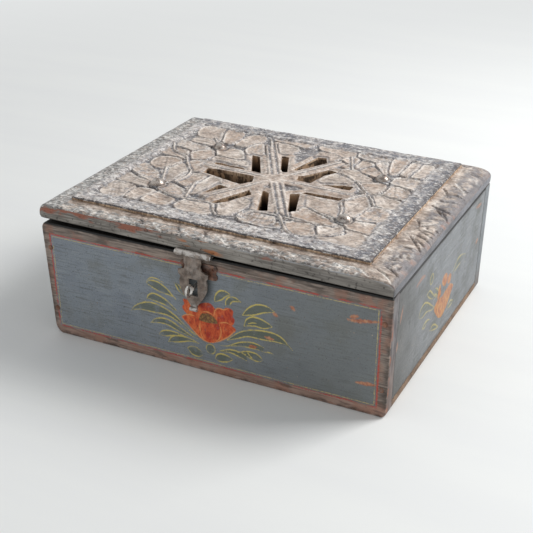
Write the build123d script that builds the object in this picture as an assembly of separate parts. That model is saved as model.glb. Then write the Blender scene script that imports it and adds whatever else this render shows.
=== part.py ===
from build123d import *
import math
import os

# A hinged wooden storage box with a carved and pierced panel on its lid.
# Millimetres. +X runs to the right along the front, +Y to the back, +Z up.
# The origin is the middle of the whole object's outline on the table.

# How far a cut runs past the face that it opens
OVERCUT = 1.0

# Body
WIDTH = 300.0
DEPTH = 238.0
BODY_HEIGHT = 101.0
FRONT_BOARD = 12.0
BACK_BOARD = 12.0
SIDE_BOARD = 11.0
BOTTOM_BOARD = 9.0
LEFT_LEAN = 2.5
RIGHT_LEAN = 1.0
WEAR_BOTTOM_LEFT = 8.0
WEAR_BOTTOM_RIGHT = 4.0
WEAR_TOP_LEFT = 6.0
WEAR_TOP_RIGHT = 1.5

# How far the ironwork stands out in front and behind
EYE_REACH = 17.0
HINGE_REACH = 5.3
FRONT = EYE_REACH - (EYE_REACH + DEPTH + HINGE_REACH) / 2
BACK = FRONT + DEPTH
LEFT = -WIDTH / 2
RIGHT = WIDTH / 2

# Lid board. It has warped, so it touches the right wall and stands off the left one.
LID_BOARD = 13.0
LID_RISE = 3.0
LID_TILT = math.degrees(math.asin(LID_RISE / WIDTH))
LID_LEFT_ROUND = 6.5
LID_LEFT_UNDER = 3.0
LID_RIGHT_FLAT = 7.5
LID_RIGHT_ROUND_WIDTH = 16.0
LID_RIGHT_BEND_IN = 5.8
LID_RIGHT_BEND_UP = 3.7

# Carved panel on the lid
PANEL = 3.0
BORDER_LEFT = 20.0
BORDER_RIGHT = 25.0
BORDER_FRONT = 17.0
BORDER_BACK = 7.0
PANEL_LEFT = LEFT + BORDER_LEFT
PANEL_RIGHT = RIGHT - BORDER_RIGHT
PANEL_FRONT = FRONT + BORDER_FRONT
PANEL_BACK = BACK - BORDER_BACK
PANEL_CORNER = 2.0
FIELD_MARGIN_LEFT = 12.0
FIELD_MARGIN_RIGHT = 17.0
FIELD_MARGIN_FRONT = 16.0
FIELD_MARGIN_BACK = 20.0
FIELD_DEPTH = 1.2
HUB_LEFT_OF_MIDDLE = 2.1
HUB_BEHIND_MIDDLE = 5.5
HUB_X = -HUB_LEFT_OF_MIDDLE
HUB_Y = (FRONT + BACK) / 2 + HUB_BEHIND_MIDDLE
HUB_RADIUS = 17.0
SPOKE_WIDTH = 12.0
SPOKE_REACH = 74.0
SPOKE_ANGLES = (-2.0, 61.0, 119.0, 178.0, 240.0, 300.0)
WEDGE_INNER = 30.0
WEDGE_OUTER = 74.0
WEDGE_TIP = 80.0
WEDGE_SPREAD = 21.0

# The twelve slots, as corners measured from the hub
SLOTS = (
    ((-44, 43), (-36, 42), (-18, 8), (-27, 8)),
    ((-20, 53), (-13, 53), (1, 20), (-5, 19)),
    ((3, 28), (9, 27), (23, 54), (17, 66), (10, 64)),
    ((14, 14), (15, 8), (28, 8), (32, 28), (39, 40), (30, 41)),
    ((38, 8), (63, 8), (63, 17), (54, 15)),
    ((31, -16), (64, -16), (65, -10), (33, -12)),
    ((23, -21), (30, -17), (42, -51), (37, -55)),
    ((0, -24), (7, -27), (22, -60), (14, -62)),
    ((-10, -29), (-4, -36), (-18, -64), (-26, -65)),
    ((-37, -30), (-28, -31), (-24, -24), (-18, -16), (-41, -52)),
    ((-63, -3), (-19, -3), (-16, -12), (-23, -21), (-39, -18), (-62, -12)),
    ((-64, 13), (-63, 8), (-32, 8), (-37, 12)),
)

# Flowers near the panel's corners, each round one boss nail: how far in from the panel's left or right edge,
# and from its front or back edge
FRONT_LEFT_BOSS = (46.5, 53.9)
BACK_LEFT_BOSS = (50.9, 62.5)
BACK_RIGHT_BOSS = (47.9, 66.9)
FRONT_RIGHT_BOSS = (44.5, 57.6)
BOSS_RADIUS = 6.0
BOSS_HEIGHT = 4.2
BOSS_SHANK = 1.6
BOSS_HOLE = 1.7
BOSS_SHANK_LENGTH = 11.5
PETALS = 8
PETAL_INNER = 8.0
PETAL_DISC = 9.2
PETAL_LENGTH = 21.0
PETAL_WIDTH = 11.0
PETAL_TURN = 22.5

# Hasp, hinged on a pin along the lid's lower front edge
HASP_LEFT_OF_MIDDLE = 8.2
HASP_X = -HASP_LEFT_OF_MIDDLE
HASP_AXIS_OUT = 3.4
HASP_AXIS_Y = FRONT - HASP_AXIS_OUT
HASP_AXIS_Z = 0.1
BARREL = 2.6
PIN = 1.2
RUNNING = 0.05
HASP_BARREL_LENGTH = 29.2
HASP_NECK = 7.4
KNUCKLE_GAP = 0.3
HASP_PLATE = 1.4
HASP_PLATE_OUT = 4.0
HASP_PLATE_Y = FRONT - HASP_PLATE_OUT
PIN_HEAD = 1.9
PIN_HEAD_LENGTH = 0.8
LEAF = 1.3
HASP_LEAF_DEPTH = 22.0
HASP_LEAF_NEAR_NAILS = 10.0
HASP_LEAF_FAR_NAIL = 5.0
HASP_LEAF_NAIL_SPREAD = 9.7
SLOT_HALF = 3.8
SLOT_TOP_DROP = 19.9
SLOT_BOTTOM_DROP = 34.1
# Half widths of the hasp's outline, and how far below its pin it has them
HASP_OUTLINE = (
    (7.4, 6.7),
    (6.6, 8.7),
    (7.4, 12.1),
    (13.1, 14.1),
    (12.7, 17.3),
    (10.9, 19.1),
    (12.0, 22.7),
    (11.8, 27.7),
    (9.4, 33.3),
    (5.6, 38.7),
    (2.9, 42.5),
)
FINGER_RADIUS = 1.7
FINGER_LENGTH = 6.0
FINGER_DROP = 45.5

# Plate behind the hasp on the front board
STRIKE_SHIFT = 3.0
STRIKE_DROP = 11.6
STRIKE_X = HASP_X + STRIKE_SHIFT
STRIKE_Z = BODY_HEIGHT - STRIKE_DROP
STRIKE_WIDTH = 31.5
STRIKE_HEIGHT = 12.4
STRIKE = 0.9
STRIKE_CORNER = 2.4
SCALLOP = 2.4
STRIKE_NAIL_X = 12.4
STRIKE_NAIL_Z = 2.9
STRIKE_NAIL_STANDING = 0.3
STRIKE_NAIL_CLEAR = 0.3

# Eye that takes the padlock, driven through the front board and clinched inside
EYE_DROP = 25.0
EYE_Z = BODY_HEIGHT - EYE_DROP
EYE_WIRE = 1.1
EYE_RADIUS = 4.4
EYE_Y = FRONT - EYE_REACH + EYE_RADIUS + EYE_WIRE
STEM = 1.9
STEM_HOLE = 2.1
CLINCH = 1.2
CLINCH_WIDTH = 3.2
CLINCH_LENGTH = 20.0

# Rear hinges
HINGE_INSET = 60.0
HINGE_X = WIDTH / 2 - HINGE_INSET
HINGE_LENGTH = 32.0
HINGE_LEAF = 1.5
HINGE_BARREL = 2.5
HINGE_AXIS_Y = BACK + HINGE_REACH - HINGE_BARREL
HINGE_AXIS_UP = 0.5
HINGE_AXIS_Z = BODY_HEIGHT + HINGE_AXIS_UP
HINGE_KNUCKLE = 10.0
BOX_LEAF_HEIGHT = 22.0
LID_LEAF_HEIGHT = 12.5
LEAF_CLEAR = 3.0
HINGE_NAIL_SPACING = 11.0
BOX_LEAF_LOW_NAILS = 15.8
BOX_LEAF_HIGH_NAIL = 9.2
LID_LEAF_NAILS = 8.3

# Nails
NAIL_SHANK = 1.0
NAIL_HOLE = 1.05
NAIL_HEAD = 2.2
NAIL_HEAD_HOLE = 2.3
NAIL_HEAD_DEPTH = 0.8
NAIL_LENGTH = 28.0
NAIL_HOLE_EXTRA = 0.5
CORNER_NAIL_HEIGHTS = (24.0, 79.0)
BOTTOM_NAIL_INSET = 34.0
BOTTOM_NAIL_SINK = 2.6
SMALL_SHANK = 0.9
SMALL_HOLE = 0.95
SMALL_HEAD = 2.0
SMALL_HEAD_DEPTH = 0.8
SMALL_LENGTH = 9.0


def block(x0, x1, y0, y1, z0, z1):
    """A box between the given limits."""
    return Pos((x0 + x1) / 2, (y0 + y1) / 2, (z0 + z1) / 2) * Box(x1 - x0, y1 - y0, z1 - z0)


def rod(radius, length, start, direction):
    """A round bar of the given length from a start point, along +X, +Y, +Z or one of their opposites."""
    turn = {
        "+X": Rot(0, 90, 0),
        "-X": Rot(0, -90, 0),
        "+Y": Rot(-90, 0, 0),
        "-Y": Rot(90, 0, 0),
        "+Z": Rot(0, 0, 0),
        "-Z": Rot(180, 0, 0),
    }[direction]
    return Pos(*start) * turn * Pos(0, 0, length / 2) * Cylinder(radius, length)


def upright(face_points, y0, y1):
    """An outline drawn in X and Z, given depth from y0 to y1."""
    outline = make_face(Polyline(*face_points, close=True))
    return Pos(0, y1, 0) * Rot(90, 0, 0) * extrude(outline, y1 - y0)


def flat(points, z0, z1):
    """An outline drawn in X and Y, given height from z0 to z1."""
    outline = make_face(Polyline(*points, close=True))
    return Pos(0, 0, z0) * extrude(outline, z1 - z0)


def nail(start, direction, length=NAIL_LENGTH, shank=NAIL_SHANK, head=NAIL_HEAD, head_depth=NAIL_HEAD_DEPTH):
    """A nail whose head's outer face is at the start point."""
    return rod(shank, length, start, direction) + rod(head, head_depth, start, direction)


def place_on_lid(shape):
    """Sets a piece, drawn level with the lid's underside at height 0, on the walls with the lid's tilt."""
    return Pos(RIGHT, 0, BODY_HEIGHT) * Rot(0, LID_TILT, 0) * Pos(-RIGHT, 0, 0) * shape


def side_nail_places():
    """Where nails stand in the side boards' thickness, allowing for the left wall's lean."""
    return (LEFT + (SIDE_BOARD + LEFT_LEAN) / 2, RIGHT - SIDE_BOARD / 2)


def corner_nail_starts():
    """Heads of the nails through the front and back boards into the ends of the side boards."""
    starts = []
    for x in side_nail_places():
        for z in CORNER_NAIL_HEIGHTS:
            starts.append(((x, FRONT, z), "+Y"))
            starts.append(((x, BACK, z), "-Y"))
    return starts


def bottom_nail_starts():
    """Heads of the nails up through the bottom board into the side boards."""
    first = FRONT + FRONT_BOARD + BOTTOM_NAIL_INSET
    last = BACK - BACK_BOARD - BOTTOM_NAIL_INSET
    starts = []
    for x in side_nail_places():
        for y in (first, (first + last) / 2, last):
            starts.append(((x, y, BOTTOM_NAIL_SINK), "+Z"))
    return starts


def nail_cuts(starts):
    """What the nails take out of the boards, up to the outer face over a head punched below it."""
    cuts = []
    for start, direction in starts:
        cuts.append(nail(start, direction, NAIL_LENGTH + NAIL_HOLE_EXTRA, NAIL_HOLE, NAIL_HEAD_HOLE))
        if direction == "+Z":
            cuts.append(rod(NAIL_HEAD_HOLE, BOTTOM_NAIL_SINK + OVERCUT, start, "-Z"))
    return cuts


def body_outline():
    """The body's outer shape seen from the front: walls that lean out a little, and worn corners."""
    corners = (
        (LEFT + LEFT_LEAN, 0.0, WEAR_BOTTOM_LEFT),
        (RIGHT - RIGHT_LEAN, 0.0, WEAR_BOTTOM_RIGHT),
        (RIGHT, BODY_HEIGHT, WEAR_TOP_RIGHT),
        (LEFT, BODY_HEIGHT, WEAR_TOP_LEFT),
    )
    face = make_face(Polyline(*[(x, z) for x, z, radius in corners], close=True))
    for x, z, radius in corners:
        corner = face.vertices().sort_by_distance((x, z, 0))[0]
        face = fillet(corner, radius)
    return Pos(0, BACK, 0) * Rot(90, 0, 0) * extrude(face, DEPTH)


def body_boards():
    """The body's five boards. Front and back lap over the sides, and the bottom is nailed up under them."""
    outer = body_outline()
    inner_front = FRONT + FRONT_BOARD
    inner_back = BACK - BACK_BOARD
    boards = {
        "front_board": block(LEFT, RIGHT, FRONT, inner_front, 0, BODY_HEIGHT),
        "back_board": block(LEFT, RIGHT, inner_back, BACK, 0, BODY_HEIGHT),
        "left_board": block(LEFT, LEFT + SIDE_BOARD, inner_front, inner_back, BOTTOM_BOARD, BODY_HEIGHT),
        "right_board": block(RIGHT - SIDE_BOARD, RIGHT, inner_front, inner_back, BOTTOM_BOARD, BODY_HEIGHT),
        "bottom_board": block(LEFT, RIGHT, inner_front, inner_back, 0, BOTTOM_BOARD),
    }
    cuts = nail_cuts(corner_nail_starts() + bottom_nail_starts())
    for name in boards:
        board = boards[name] & outer
        for cut in cuts:
            board = board - cut
        boards[name] = board
    boards["front_board"] = boards["front_board"] - front_cuts()
    for side in (-1, 1):
        boards["back_board"] = boards["back_board"] - hinge_nail_cuts(side, "box")
    return boards


def strike_nail_starts():
    """The two sunk nails of the strike plate, one of them hidden by the hasp."""
    y = FRONT - STRIKE_NAIL_STANDING
    return (
        (STRIKE_X + STRIKE_NAIL_X, y, STRIKE_Z + STRIKE_NAIL_Z),
        (STRIKE_X - STRIKE_NAIL_X, y, STRIKE_Z - STRIKE_NAIL_Z),
    )


def front_cuts():
    """Holes in the front board for the eye's stem and the strike plate's nails."""
    cut = rod(STEM_HOLE, FRONT_BOARD + 2 * OVERCUT, (HASP_X, FRONT - OVERCUT, EYE_Z), "+Y")
    for start in strike_nail_starts():
        cut = cut + rod(SMALL_HOLE, SMALL_LENGTH + NAIL_HOLE_EXTRA, start, "+Y")
    return cut


def strike_plate():
    """A thin iron plate with scalloped ends behind the hasp."""
    plate = RectangleRounded(STRIKE_WIDTH, STRIKE_HEIGHT, STRIKE_CORNER)
    for side in (-1, 1):
        plate = plate - Pos(side * (STRIKE_WIDTH + SCALLOP) / 2, 0) * Circle(SCALLOP)
        nail_place = Pos(side * STRIKE_NAIL_X, side * STRIKE_NAIL_Z)
        plate = plate - nail_place * Circle(SMALL_HOLE + STRIKE_NAIL_CLEAR)
    return Pos(STRIKE_X, FRONT, STRIKE_Z) * Rot(90, 0, 0) * extrude(plate, STRIKE)


def strike_nails():
    """The strike plate's nails, with heads below the plate's face."""
    nails = [rod(SMALL_SHANK, SMALL_LENGTH, start, "+Y") for start in strike_nail_starts()]
    return Compound(nails)


def eye():
    """The padlock eye: a ring on a stem, its two ends bent flat against the inside of the front board."""
    ring = Pos(HASP_X, EYE_Y, EYE_Z) * Rot(0, 90, 0) * Torus(EYE_RADIUS, EYE_WIRE)
    stem_start = EYE_Y + EYE_RADIUS
    inside = FRONT + FRONT_BOARD
    stem = rod(STEM, inside + CLINCH - stem_start, (HASP_X, stem_start, EYE_Z), "+Y")
    half = CLINCH_WIDTH / 2
    low = EYE_Z - CLINCH_LENGTH / 2
    clinch = block(HASP_X - half, HASP_X + half, inside, inside + CLINCH, low, low + CLINCH_LENGTH)
    return ring + stem + clinch


def lid_outline():
    """The lid board's end view: rounded over at the left and, more widely, at the right."""
    left_top = (LEFT, LID_BOARD - LID_LEFT_ROUND)
    left_low = (LEFT, LID_LEFT_UNDER)
    top_start = (LEFT + LID_LEFT_ROUND, LID_BOARD)
    top_end = (RIGHT - LID_RIGHT_ROUND_WIDTH, LID_BOARD)
    right_top = (RIGHT, LID_RIGHT_FLAT)
    bend = (RIGHT - LID_RIGHT_BEND_IN, LID_RIGHT_FLAT + LID_RIGHT_BEND_UP)
    return make_face(
        [
            Line(top_end, top_start),
            RadiusArc(top_start, left_top, -LID_LEFT_ROUND),
            Line(left_top, left_low),
            RadiusArc(left_low, (LEFT + LID_LEFT_UNDER, 0), -LID_LEFT_UNDER),
            Line((LEFT + LID_LEFT_UNDER, 0), (RIGHT, 0)),
            Line((RIGHT, 0), right_top),
            ThreePointArc(right_top, bend, top_end),
        ]
    )


def slot_cuts(z0, z1):
    """The pierced slots, cut between two heights."""
    cuts = []
    for corners in SLOTS:
        points = [(HUB_X + x, HUB_Y + y) for x, y in corners]
        cuts.append(flat(points, z0, z1))
    return cuts


def boss_centres():
    """Where the boss nails stand."""
    return [
        (PANEL_LEFT + FRONT_LEFT_BOSS[0], PANEL_FRONT + FRONT_LEFT_BOSS[1]),
        (PANEL_LEFT + BACK_LEFT_BOSS[0], PANEL_BACK - BACK_LEFT_BOSS[1]),
        (PANEL_RIGHT - BACK_RIGHT_BOSS[0], PANEL_BACK - BACK_RIGHT_BOSS[1]),
        (PANEL_RIGHT - FRONT_RIGHT_BOSS[0], PANEL_FRONT + FRONT_RIGHT_BOSS[1]),
    ]


def hasp_leaf_nail_starts():
    """Heads of the nails that hold the hasp's leaf up under the lid."""
    near = FRONT + HASP_LEAF_NEAR_NAILS
    far = FRONT + HASP_LEAF_DEPTH - HASP_LEAF_FAR_NAIL
    return (
        (HASP_X - HASP_LEAF_NAIL_SPREAD, near, -LEAF),
        (HASP_X + HASP_LEAF_NAIL_SPREAD, near, -LEAF),
        (HASP_X, far, -LEAF),
    )


def lid_board():
    """The lid's plank, with the slots, the boss nails' holes and the ironwork's nail holes."""
    board = Pos(0, BACK, 0) * Rot(90, 0, 0) * extrude(lid_outline(), DEPTH)
    for cut in slot_cuts(-OVERCUT, LID_BOARD + OVERCUT):
        board = board - cut
    for x, y in boss_centres():
        board = board - rod(BOSS_HOLE, BOSS_SHANK_LENGTH, (x, y, LID_BOARD + PANEL), "-Z")
    for x, y, z in hasp_leaf_nail_starts():
        board = board - rod(SMALL_HOLE, SMALL_LENGTH + NAIL_HOLE_EXTRA, (x, y, z), "+Z")
    board = place_on_lid(board)
    for side in (-1, 1):
        board = board - hinge_nail_cuts(side, "lid")
    return board


def lens(length, width, inner, angle, centre, z0, z1):
    """A leaf shape pointed at both ends, lying along an angle from a centre, between two heights."""
    half = width / 2
    near = (inner, 0)
    far = (inner + length, 0)
    upper = ThreePointArc(near, (inner + length / 2, half), far)
    lower = ThreePointArc(far, (inner + length / 2, -half), near)
    leaf = extrude(make_face([upper, lower]), z1 - z0)
    return Pos(centre[0], centre[1], z0) * Rot(0, 0, angle) * leaf


def spoke(angle, z0, z1):
    """One arm of the star."""
    bar = block(0, SPOKE_REACH, -SPOKE_WIDTH / 2, SPOKE_WIDTH / 2, z0, z1)
    return Pos(HUB_X, HUB_Y, 0) * Rot(0, 0, angle) * bar


def wedge(angle, z0, z1):
    """The pointed petal between two arms of the star, with its point towards the hub."""
    a = math.radians(WEDGE_SPREAD)
    points = (
        (WEDGE_INNER, 0),
        (WEDGE_OUTER * math.cos(a), -WEDGE_OUTER * math.sin(a)),
        (WEDGE_TIP, 0),
        (WEDGE_OUTER * math.cos(a), WEDGE_OUTER * math.sin(a)),
    )
    return Pos(HUB_X, HUB_Y, 0) * Rot(0, 0, angle) * flat(points, z0, z1)


def carving(z0, z1):
    """The raised forms of the carving: star, wedges between its arms, and four flowers."""
    forms = Pos(HUB_X, HUB_Y, (z0 + z1) / 2) * Cylinder(HUB_RADIUS, z1 - z0)
    for number, angle in enumerate(SPOKE_ANGLES):
        forms = forms + spoke(angle, z0, z1)
        following = SPOKE_ANGLES[(number + 1) % len(SPOKE_ANGLES)]
        if following < angle:
            following += 360
        forms = forms + wedge((angle + following) / 2, z0, z1)
    for centre in boss_centres():
        for number in range(PETALS):
            angle = PETAL_TURN + number * 360 / PETALS
            forms = forms + lens(PETAL_LENGTH, PETAL_WIDTH, PETAL_INNER, angle, centre, z0, z1)
        forms = forms + Pos(centre[0], centre[1], (z0 + z1) / 2) * Cylinder(PETAL_DISC, z1 - z0)
    return forms


def carved_panel():
    """A thin board laid on the lid, its field cut back round the carving and pierced with the slots."""
    bottom = LID_BOARD
    top = LID_BOARD + PANEL
    floor = top - FIELD_DEPTH
    centre = ((PANEL_LEFT + PANEL_RIGHT) / 2, (PANEL_FRONT + PANEL_BACK) / 2)
    face = RectangleRounded(PANEL_RIGHT - PANEL_LEFT, PANEL_BACK - PANEL_FRONT, PANEL_CORNER)
    panel = Pos(centre[0], centre[1], bottom) * extrude(face, PANEL)
    field = block(
        PANEL_LEFT + FIELD_MARGIN_LEFT,
        PANEL_RIGHT - FIELD_MARGIN_RIGHT,
        PANEL_FRONT + FIELD_MARGIN_FRONT,
        PANEL_BACK - FIELD_MARGIN_BACK,
        floor,
        top + OVERCUT,
    )
    panel = panel - (field - carving(floor, top + OVERCUT))
    for cut in slot_cuts(bottom - OVERCUT, top + OVERCUT):
        panel = panel - cut
    for x, y in boss_centres():
        panel = panel - rod(BOSS_HOLE, PANEL + 2 * OVERCUT, (x, y, top + OVERCUT), "-Z")
    return place_on_lid(panel)


def boss_nails():
    """Four big domed nails that hold the panel to the lid board."""
    sphere = (BOSS_RADIUS**2 + BOSS_HEIGHT**2) / (2 * BOSS_HEIGHT)
    top = LID_BOARD + PANEL
    bosses = []
    for x, y in boss_centres():
        ball = Pos(x, y, top + BOSS_HEIGHT - sphere) * Sphere(sphere)
        cap = ball & block(x - sphere, x + sphere, y - sphere, y + sphere, top, top + BOSS_HEIGHT + OVERCUT)
        shank = rod(BOSS_SHANK, BOSS_SHANK_LENGTH - NAIL_HOLE_EXTRA, (x, y, top), "-Z")
        bosses.append(place_on_lid(cap + shank))
    return Compound(bosses)


def hasp_leaf():
    """The hasp hinge's leaf under the lid, with a knuckle at each end of its edge."""
    half = HASP_BARREL_LENGTH / 2
    plate = block(HASP_X - half, HASP_X + half, FRONT, FRONT + HASP_LEAF_DEPTH, -LEAF, 0)
    inner = HASP_NECK + KNUCKLE_GAP
    leaf = plate
    for side in (-1, 1):
        x0, x1 = sorted((HASP_X + side * inner, HASP_X + side * half))
        leaf = leaf + rod(BARREL, x1 - x0, (x0, HASP_AXIS_Y, HASP_AXIS_Z), "+X")
        leaf = leaf + block(x0, x1, HASP_AXIS_Y, FRONT, -LEAF, 0)
    bore_start = (HASP_X - half - OVERCUT, HASP_AXIS_Y, HASP_AXIS_Z)
    leaf = leaf - rod(PIN, HASP_BARREL_LENGTH + 2 * OVERCUT, bore_start, "+X")
    for x, y, z in hasp_leaf_nail_starts():
        leaf = leaf - rod(SMALL_HOLE, LEAF + 2 * OVERCUT, (x, y, z - OVERCUT), "+Z")
    return place_on_lid(leaf)


def hasp_leaf_nails():
    """Nails up through the hasp's leaf into the lid, flush with the leaf."""
    nails = [place_on_lid(rod(SMALL_SHANK, SMALL_LENGTH, start, "+Z")) for start in hasp_leaf_nail_starts()]
    return Compound(nails)


def hasp_pin():
    """The pin that the hasp turns on, its ends peened over."""
    length = HASP_BARREL_LENGTH
    start = HASP_X - length / 2
    pin = rod(PIN, length + 2 * PIN_HEAD_LENGTH, (start - PIN_HEAD_LENGTH, HASP_AXIS_Y, HASP_AXIS_Z), "+X")
    pin = pin + rod(PIN_HEAD, PIN_HEAD_LENGTH, (start, HASP_AXIS_Y, HASP_AXIS_Z), "-X")
    pin = pin + rod(PIN_HEAD, PIN_HEAD_LENGTH, (start + length, HASP_AXIS_Y, HASP_AXIS_Z), "+X")
    return place_on_lid(pin)


def hasp():
    """The swinging strap: a rolled knuckle, a shaped plate slotted for the eye, and a curled finger grip."""
    right = [(HASP_NECK, HASP_AXIS_Z)] + [(half, HASP_AXIS_Z - drop) for half, drop in HASP_OUTLINE]
    left = [(-half, z) for half, z in reversed(right)]
    y0 = HASP_PLATE_Y - HASP_PLATE / 2
    y1 = HASP_PLATE_Y + HASP_PLATE / 2
    strap = Pos(HASP_X, 0, 0) * upright(right + left, y0, y1)
    strap = strap + rod(BARREL, 2 * HASP_NECK, (HASP_X - HASP_NECK, HASP_AXIS_Y, HASP_AXIS_Z), "+X")
    tail_half, tail_drop = HASP_OUTLINE[-1]
    finger_z = HASP_AXIS_Z - FINGER_DROP
    tail_top = HASP_AXIS_Z - tail_drop + HASP_PLATE
    tail = block(HASP_X - tail_half, HASP_X + tail_half, y0, y1, finger_z, tail_top)
    grip_y = HASP_PLATE_Y - FINGER_RADIUS + HASP_PLATE / 2
    finger = rod(FINGER_RADIUS, FINGER_LENGTH, (HASP_X - FINGER_LENGTH / 2, grip_y, finger_z), "+X")
    strap = strap + tail + finger
    slot_top = HASP_AXIS_Z - SLOT_TOP_DROP
    slot_bottom = HASP_AXIS_Z - SLOT_BOTTOM_DROP
    slot = block(HASP_X - SLOT_HALF, HASP_X + SLOT_HALF, y0 - OVERCUT, y1 + OVERCUT, slot_bottom, slot_top)
    bore_start = (HASP_X - HASP_NECK - OVERCUT, HASP_AXIS_Y, HASP_AXIS_Z)
    bore = rod(PIN + RUNNING, 2 * HASP_NECK + 2 * OVERCUT, bore_start, "+X")
    return place_on_lid(strap - slot - bore)


def hinge_nail_starts(side, leaf):
    """Nail places on one rear hinge leaf, at its outer face."""
    centre = side * HINGE_X
    y = BACK + HINGE_LEAF
    if leaf == "box":
        rows = ((-1, -BOX_LEAF_LOW_NAILS), (1, -BOX_LEAF_LOW_NAILS), (0, -BOX_LEAF_HIGH_NAIL))
    else:
        rows = ((-1, LID_LEAF_NAILS), (1, LID_LEAF_NAILS))
    return [(centre + step * HINGE_NAIL_SPACING, y, HINGE_AXIS_Z + height) for step, height in rows]


def hinge_nail_cuts(side, leaf):
    """Holes for one leaf's nails."""
    cut = None
    for start in hinge_nail_starts(side, leaf):
        hole = rod(SMALL_HOLE, SMALL_LENGTH + NAIL_HOLE_EXTRA, start, "-Y")
        cut = hole if cut is None else cut + hole
    return cut


def hinge_nails(leaf):
    """Round-headed nails of both hinges' leaves of one kind."""
    nails = []
    for side in (-1, 1):
        for x, y, z in hinge_nail_starts(side, leaf):
            shank = rod(SMALL_SHANK, SMALL_LENGTH, (x, y, z), "-Y")
            nails.append(shank + rod(SMALL_HEAD, SMALL_HEAD_DEPTH, (x, y, z), "+Y"))
    return Compound(nails)


def hinge_leaf(side, leaf):
    """A rear hinge leaf. The box's has the two outer knuckles and the lid's the middle one."""
    centre = side * HINGE_X
    half = HINGE_LENGTH / 2
    middle = HINGE_KNUCKLE / 2
    up = -1 if leaf == "box" else 1
    height = BOX_LEAF_HEIGHT if leaf == "box" else LID_LEAF_HEIGHT
    z0, z1 = sorted((HINGE_AXIS_Z + up * LEAF_CLEAR, HINGE_AXIS_Z + up * height))
    solid = block(centre - half, centre + half, BACK, BACK + HINGE_LEAF, z0, z1)
    if leaf == "box":
        spans = ((-half, -middle - KNUCKLE_GAP), (middle + KNUCKLE_GAP, half))
        hole = PIN
    else:
        spans = ((-middle, middle),)
        hole = PIN + RUNNING
    for a, b in spans:
        solid = solid + rod(HINGE_BARREL, b - a, (centre + a, HINGE_AXIS_Y, HINGE_AXIS_Z), "+X")
        z2, z3 = sorted((HINGE_AXIS_Z, HINGE_AXIS_Z + up * LEAF_CLEAR))
        solid = solid + block(centre + a, centre + b, BACK + KNUCKLE_GAP, BACK + HINGE_LEAF, z2, z3)
    bore_start = (centre - half - OVERCUT, HINGE_AXIS_Y, HINGE_AXIS_Z)
    bore = rod(hole, HINGE_LENGTH + 2 * OVERCUT, bore_start, "+X")
    return solid - bore - hinge_nail_cuts(side, leaf)


def hinge_pin(side):
    """The pin of one rear hinge, fast in the box's leaf."""
    return rod(PIN, HINGE_LENGTH, (side * HINGE_X - HINGE_LENGTH / 2, HINGE_AXIS_Y, HINGE_AXIS_Z), "+X")


def parts():
    """Every piece under its node's name."""
    made = body_boards()
    made["corner_nails"] = Compound([nail(start, way) for start, way in corner_nail_starts()])
    made["bottom_nails"] = Compound([nail(start, way) for start, way in bottom_nail_starts()])
    made["strike_plate"] = strike_plate()
    made["strike_nails"] = strike_nails()
    made["padlock_eye"] = eye()
    made["lid_board"] = lid_board()
    made["carved_panel"] = carved_panel()
    made["boss_nails"] = boss_nails()
    made["hasp_leaf"] = hasp_leaf()
    made["hasp_leaf_nails"] = hasp_leaf_nails()
    made["hasp_pin"] = hasp_pin()
    made["hasp"] = hasp()
    for side, word in ((-1, "left"), (1, "right")):
        made["hinge_box_leaf_" + word] = hinge_leaf(side, "box")
        made["hinge_lid_leaf_" + word] = hinge_leaf(side, "lid")
        made["hinge_pin_" + word] = hinge_pin(side)
    made["hinge_box_nails"] = hinge_nails("box")
    made["hinge_lid_nails"] = hinge_nails("lid")
    return made


os.makedirs("parts", exist_ok=True)
for name, shape in parts().items():
    export_step(shape, "parts/" + name + ".step")
    box = shape.bounding_box()
    low = [round(v, 2) for v in box.min]
    high = [round(v, 2) for v in box.max]
    print(name, "solids", len(shape.solids()), "volume", round(shape.volume, 1), low, high)
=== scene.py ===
import math

import bpy
import numpy as np
from mathutils import Matrix, Vector
from mathutils.geometry import delaunay_2d_cdt


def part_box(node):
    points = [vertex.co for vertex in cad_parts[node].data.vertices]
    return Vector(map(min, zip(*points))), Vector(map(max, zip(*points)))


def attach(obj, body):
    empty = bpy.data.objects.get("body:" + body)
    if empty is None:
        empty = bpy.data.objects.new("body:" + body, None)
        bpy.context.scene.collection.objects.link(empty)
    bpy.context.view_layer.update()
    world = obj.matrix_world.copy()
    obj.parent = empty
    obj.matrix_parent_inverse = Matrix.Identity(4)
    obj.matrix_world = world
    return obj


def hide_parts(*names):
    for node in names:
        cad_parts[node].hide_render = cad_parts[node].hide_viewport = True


# An old hinged box, painted on its walls and carved on its lid, on a plain pale floor.
# Lengths are in millimetres of the frame and turn into metres where meshes are made. Only the floor's and
# the light's are in metres from the start.
MM = 0.001

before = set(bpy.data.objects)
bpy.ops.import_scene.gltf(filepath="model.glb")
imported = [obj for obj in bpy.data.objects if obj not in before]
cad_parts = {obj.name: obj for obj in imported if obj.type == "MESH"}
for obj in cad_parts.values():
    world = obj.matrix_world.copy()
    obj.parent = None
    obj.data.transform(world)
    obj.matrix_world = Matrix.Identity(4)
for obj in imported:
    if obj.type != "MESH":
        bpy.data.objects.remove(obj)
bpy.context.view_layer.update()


def span(node):
    """Lowest and highest corner of a CAD node."""
    low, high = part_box(node)
    return [v / MM for v in low], [v / MM for v in high]


# Places of the body's boards, from the box's width and the frame
WIDTH = 300.0
LEFT = -WIDTH / 2
RIGHT = WIDTH / 2
FRONT = span("front_board")[0][1]
FRONT_INSIDE = span("front_board")[1][1]
BACK_INSIDE = span("back_board")[0][1]
BACK = span("back_board")[1][1]
BODY_HEIGHT = span("front_board")[1][2]
SIDE_FLOOR = span("right_board")[0][2]
SIDE_BOARD = RIGHT - span("right_board")[0][0]
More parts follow.
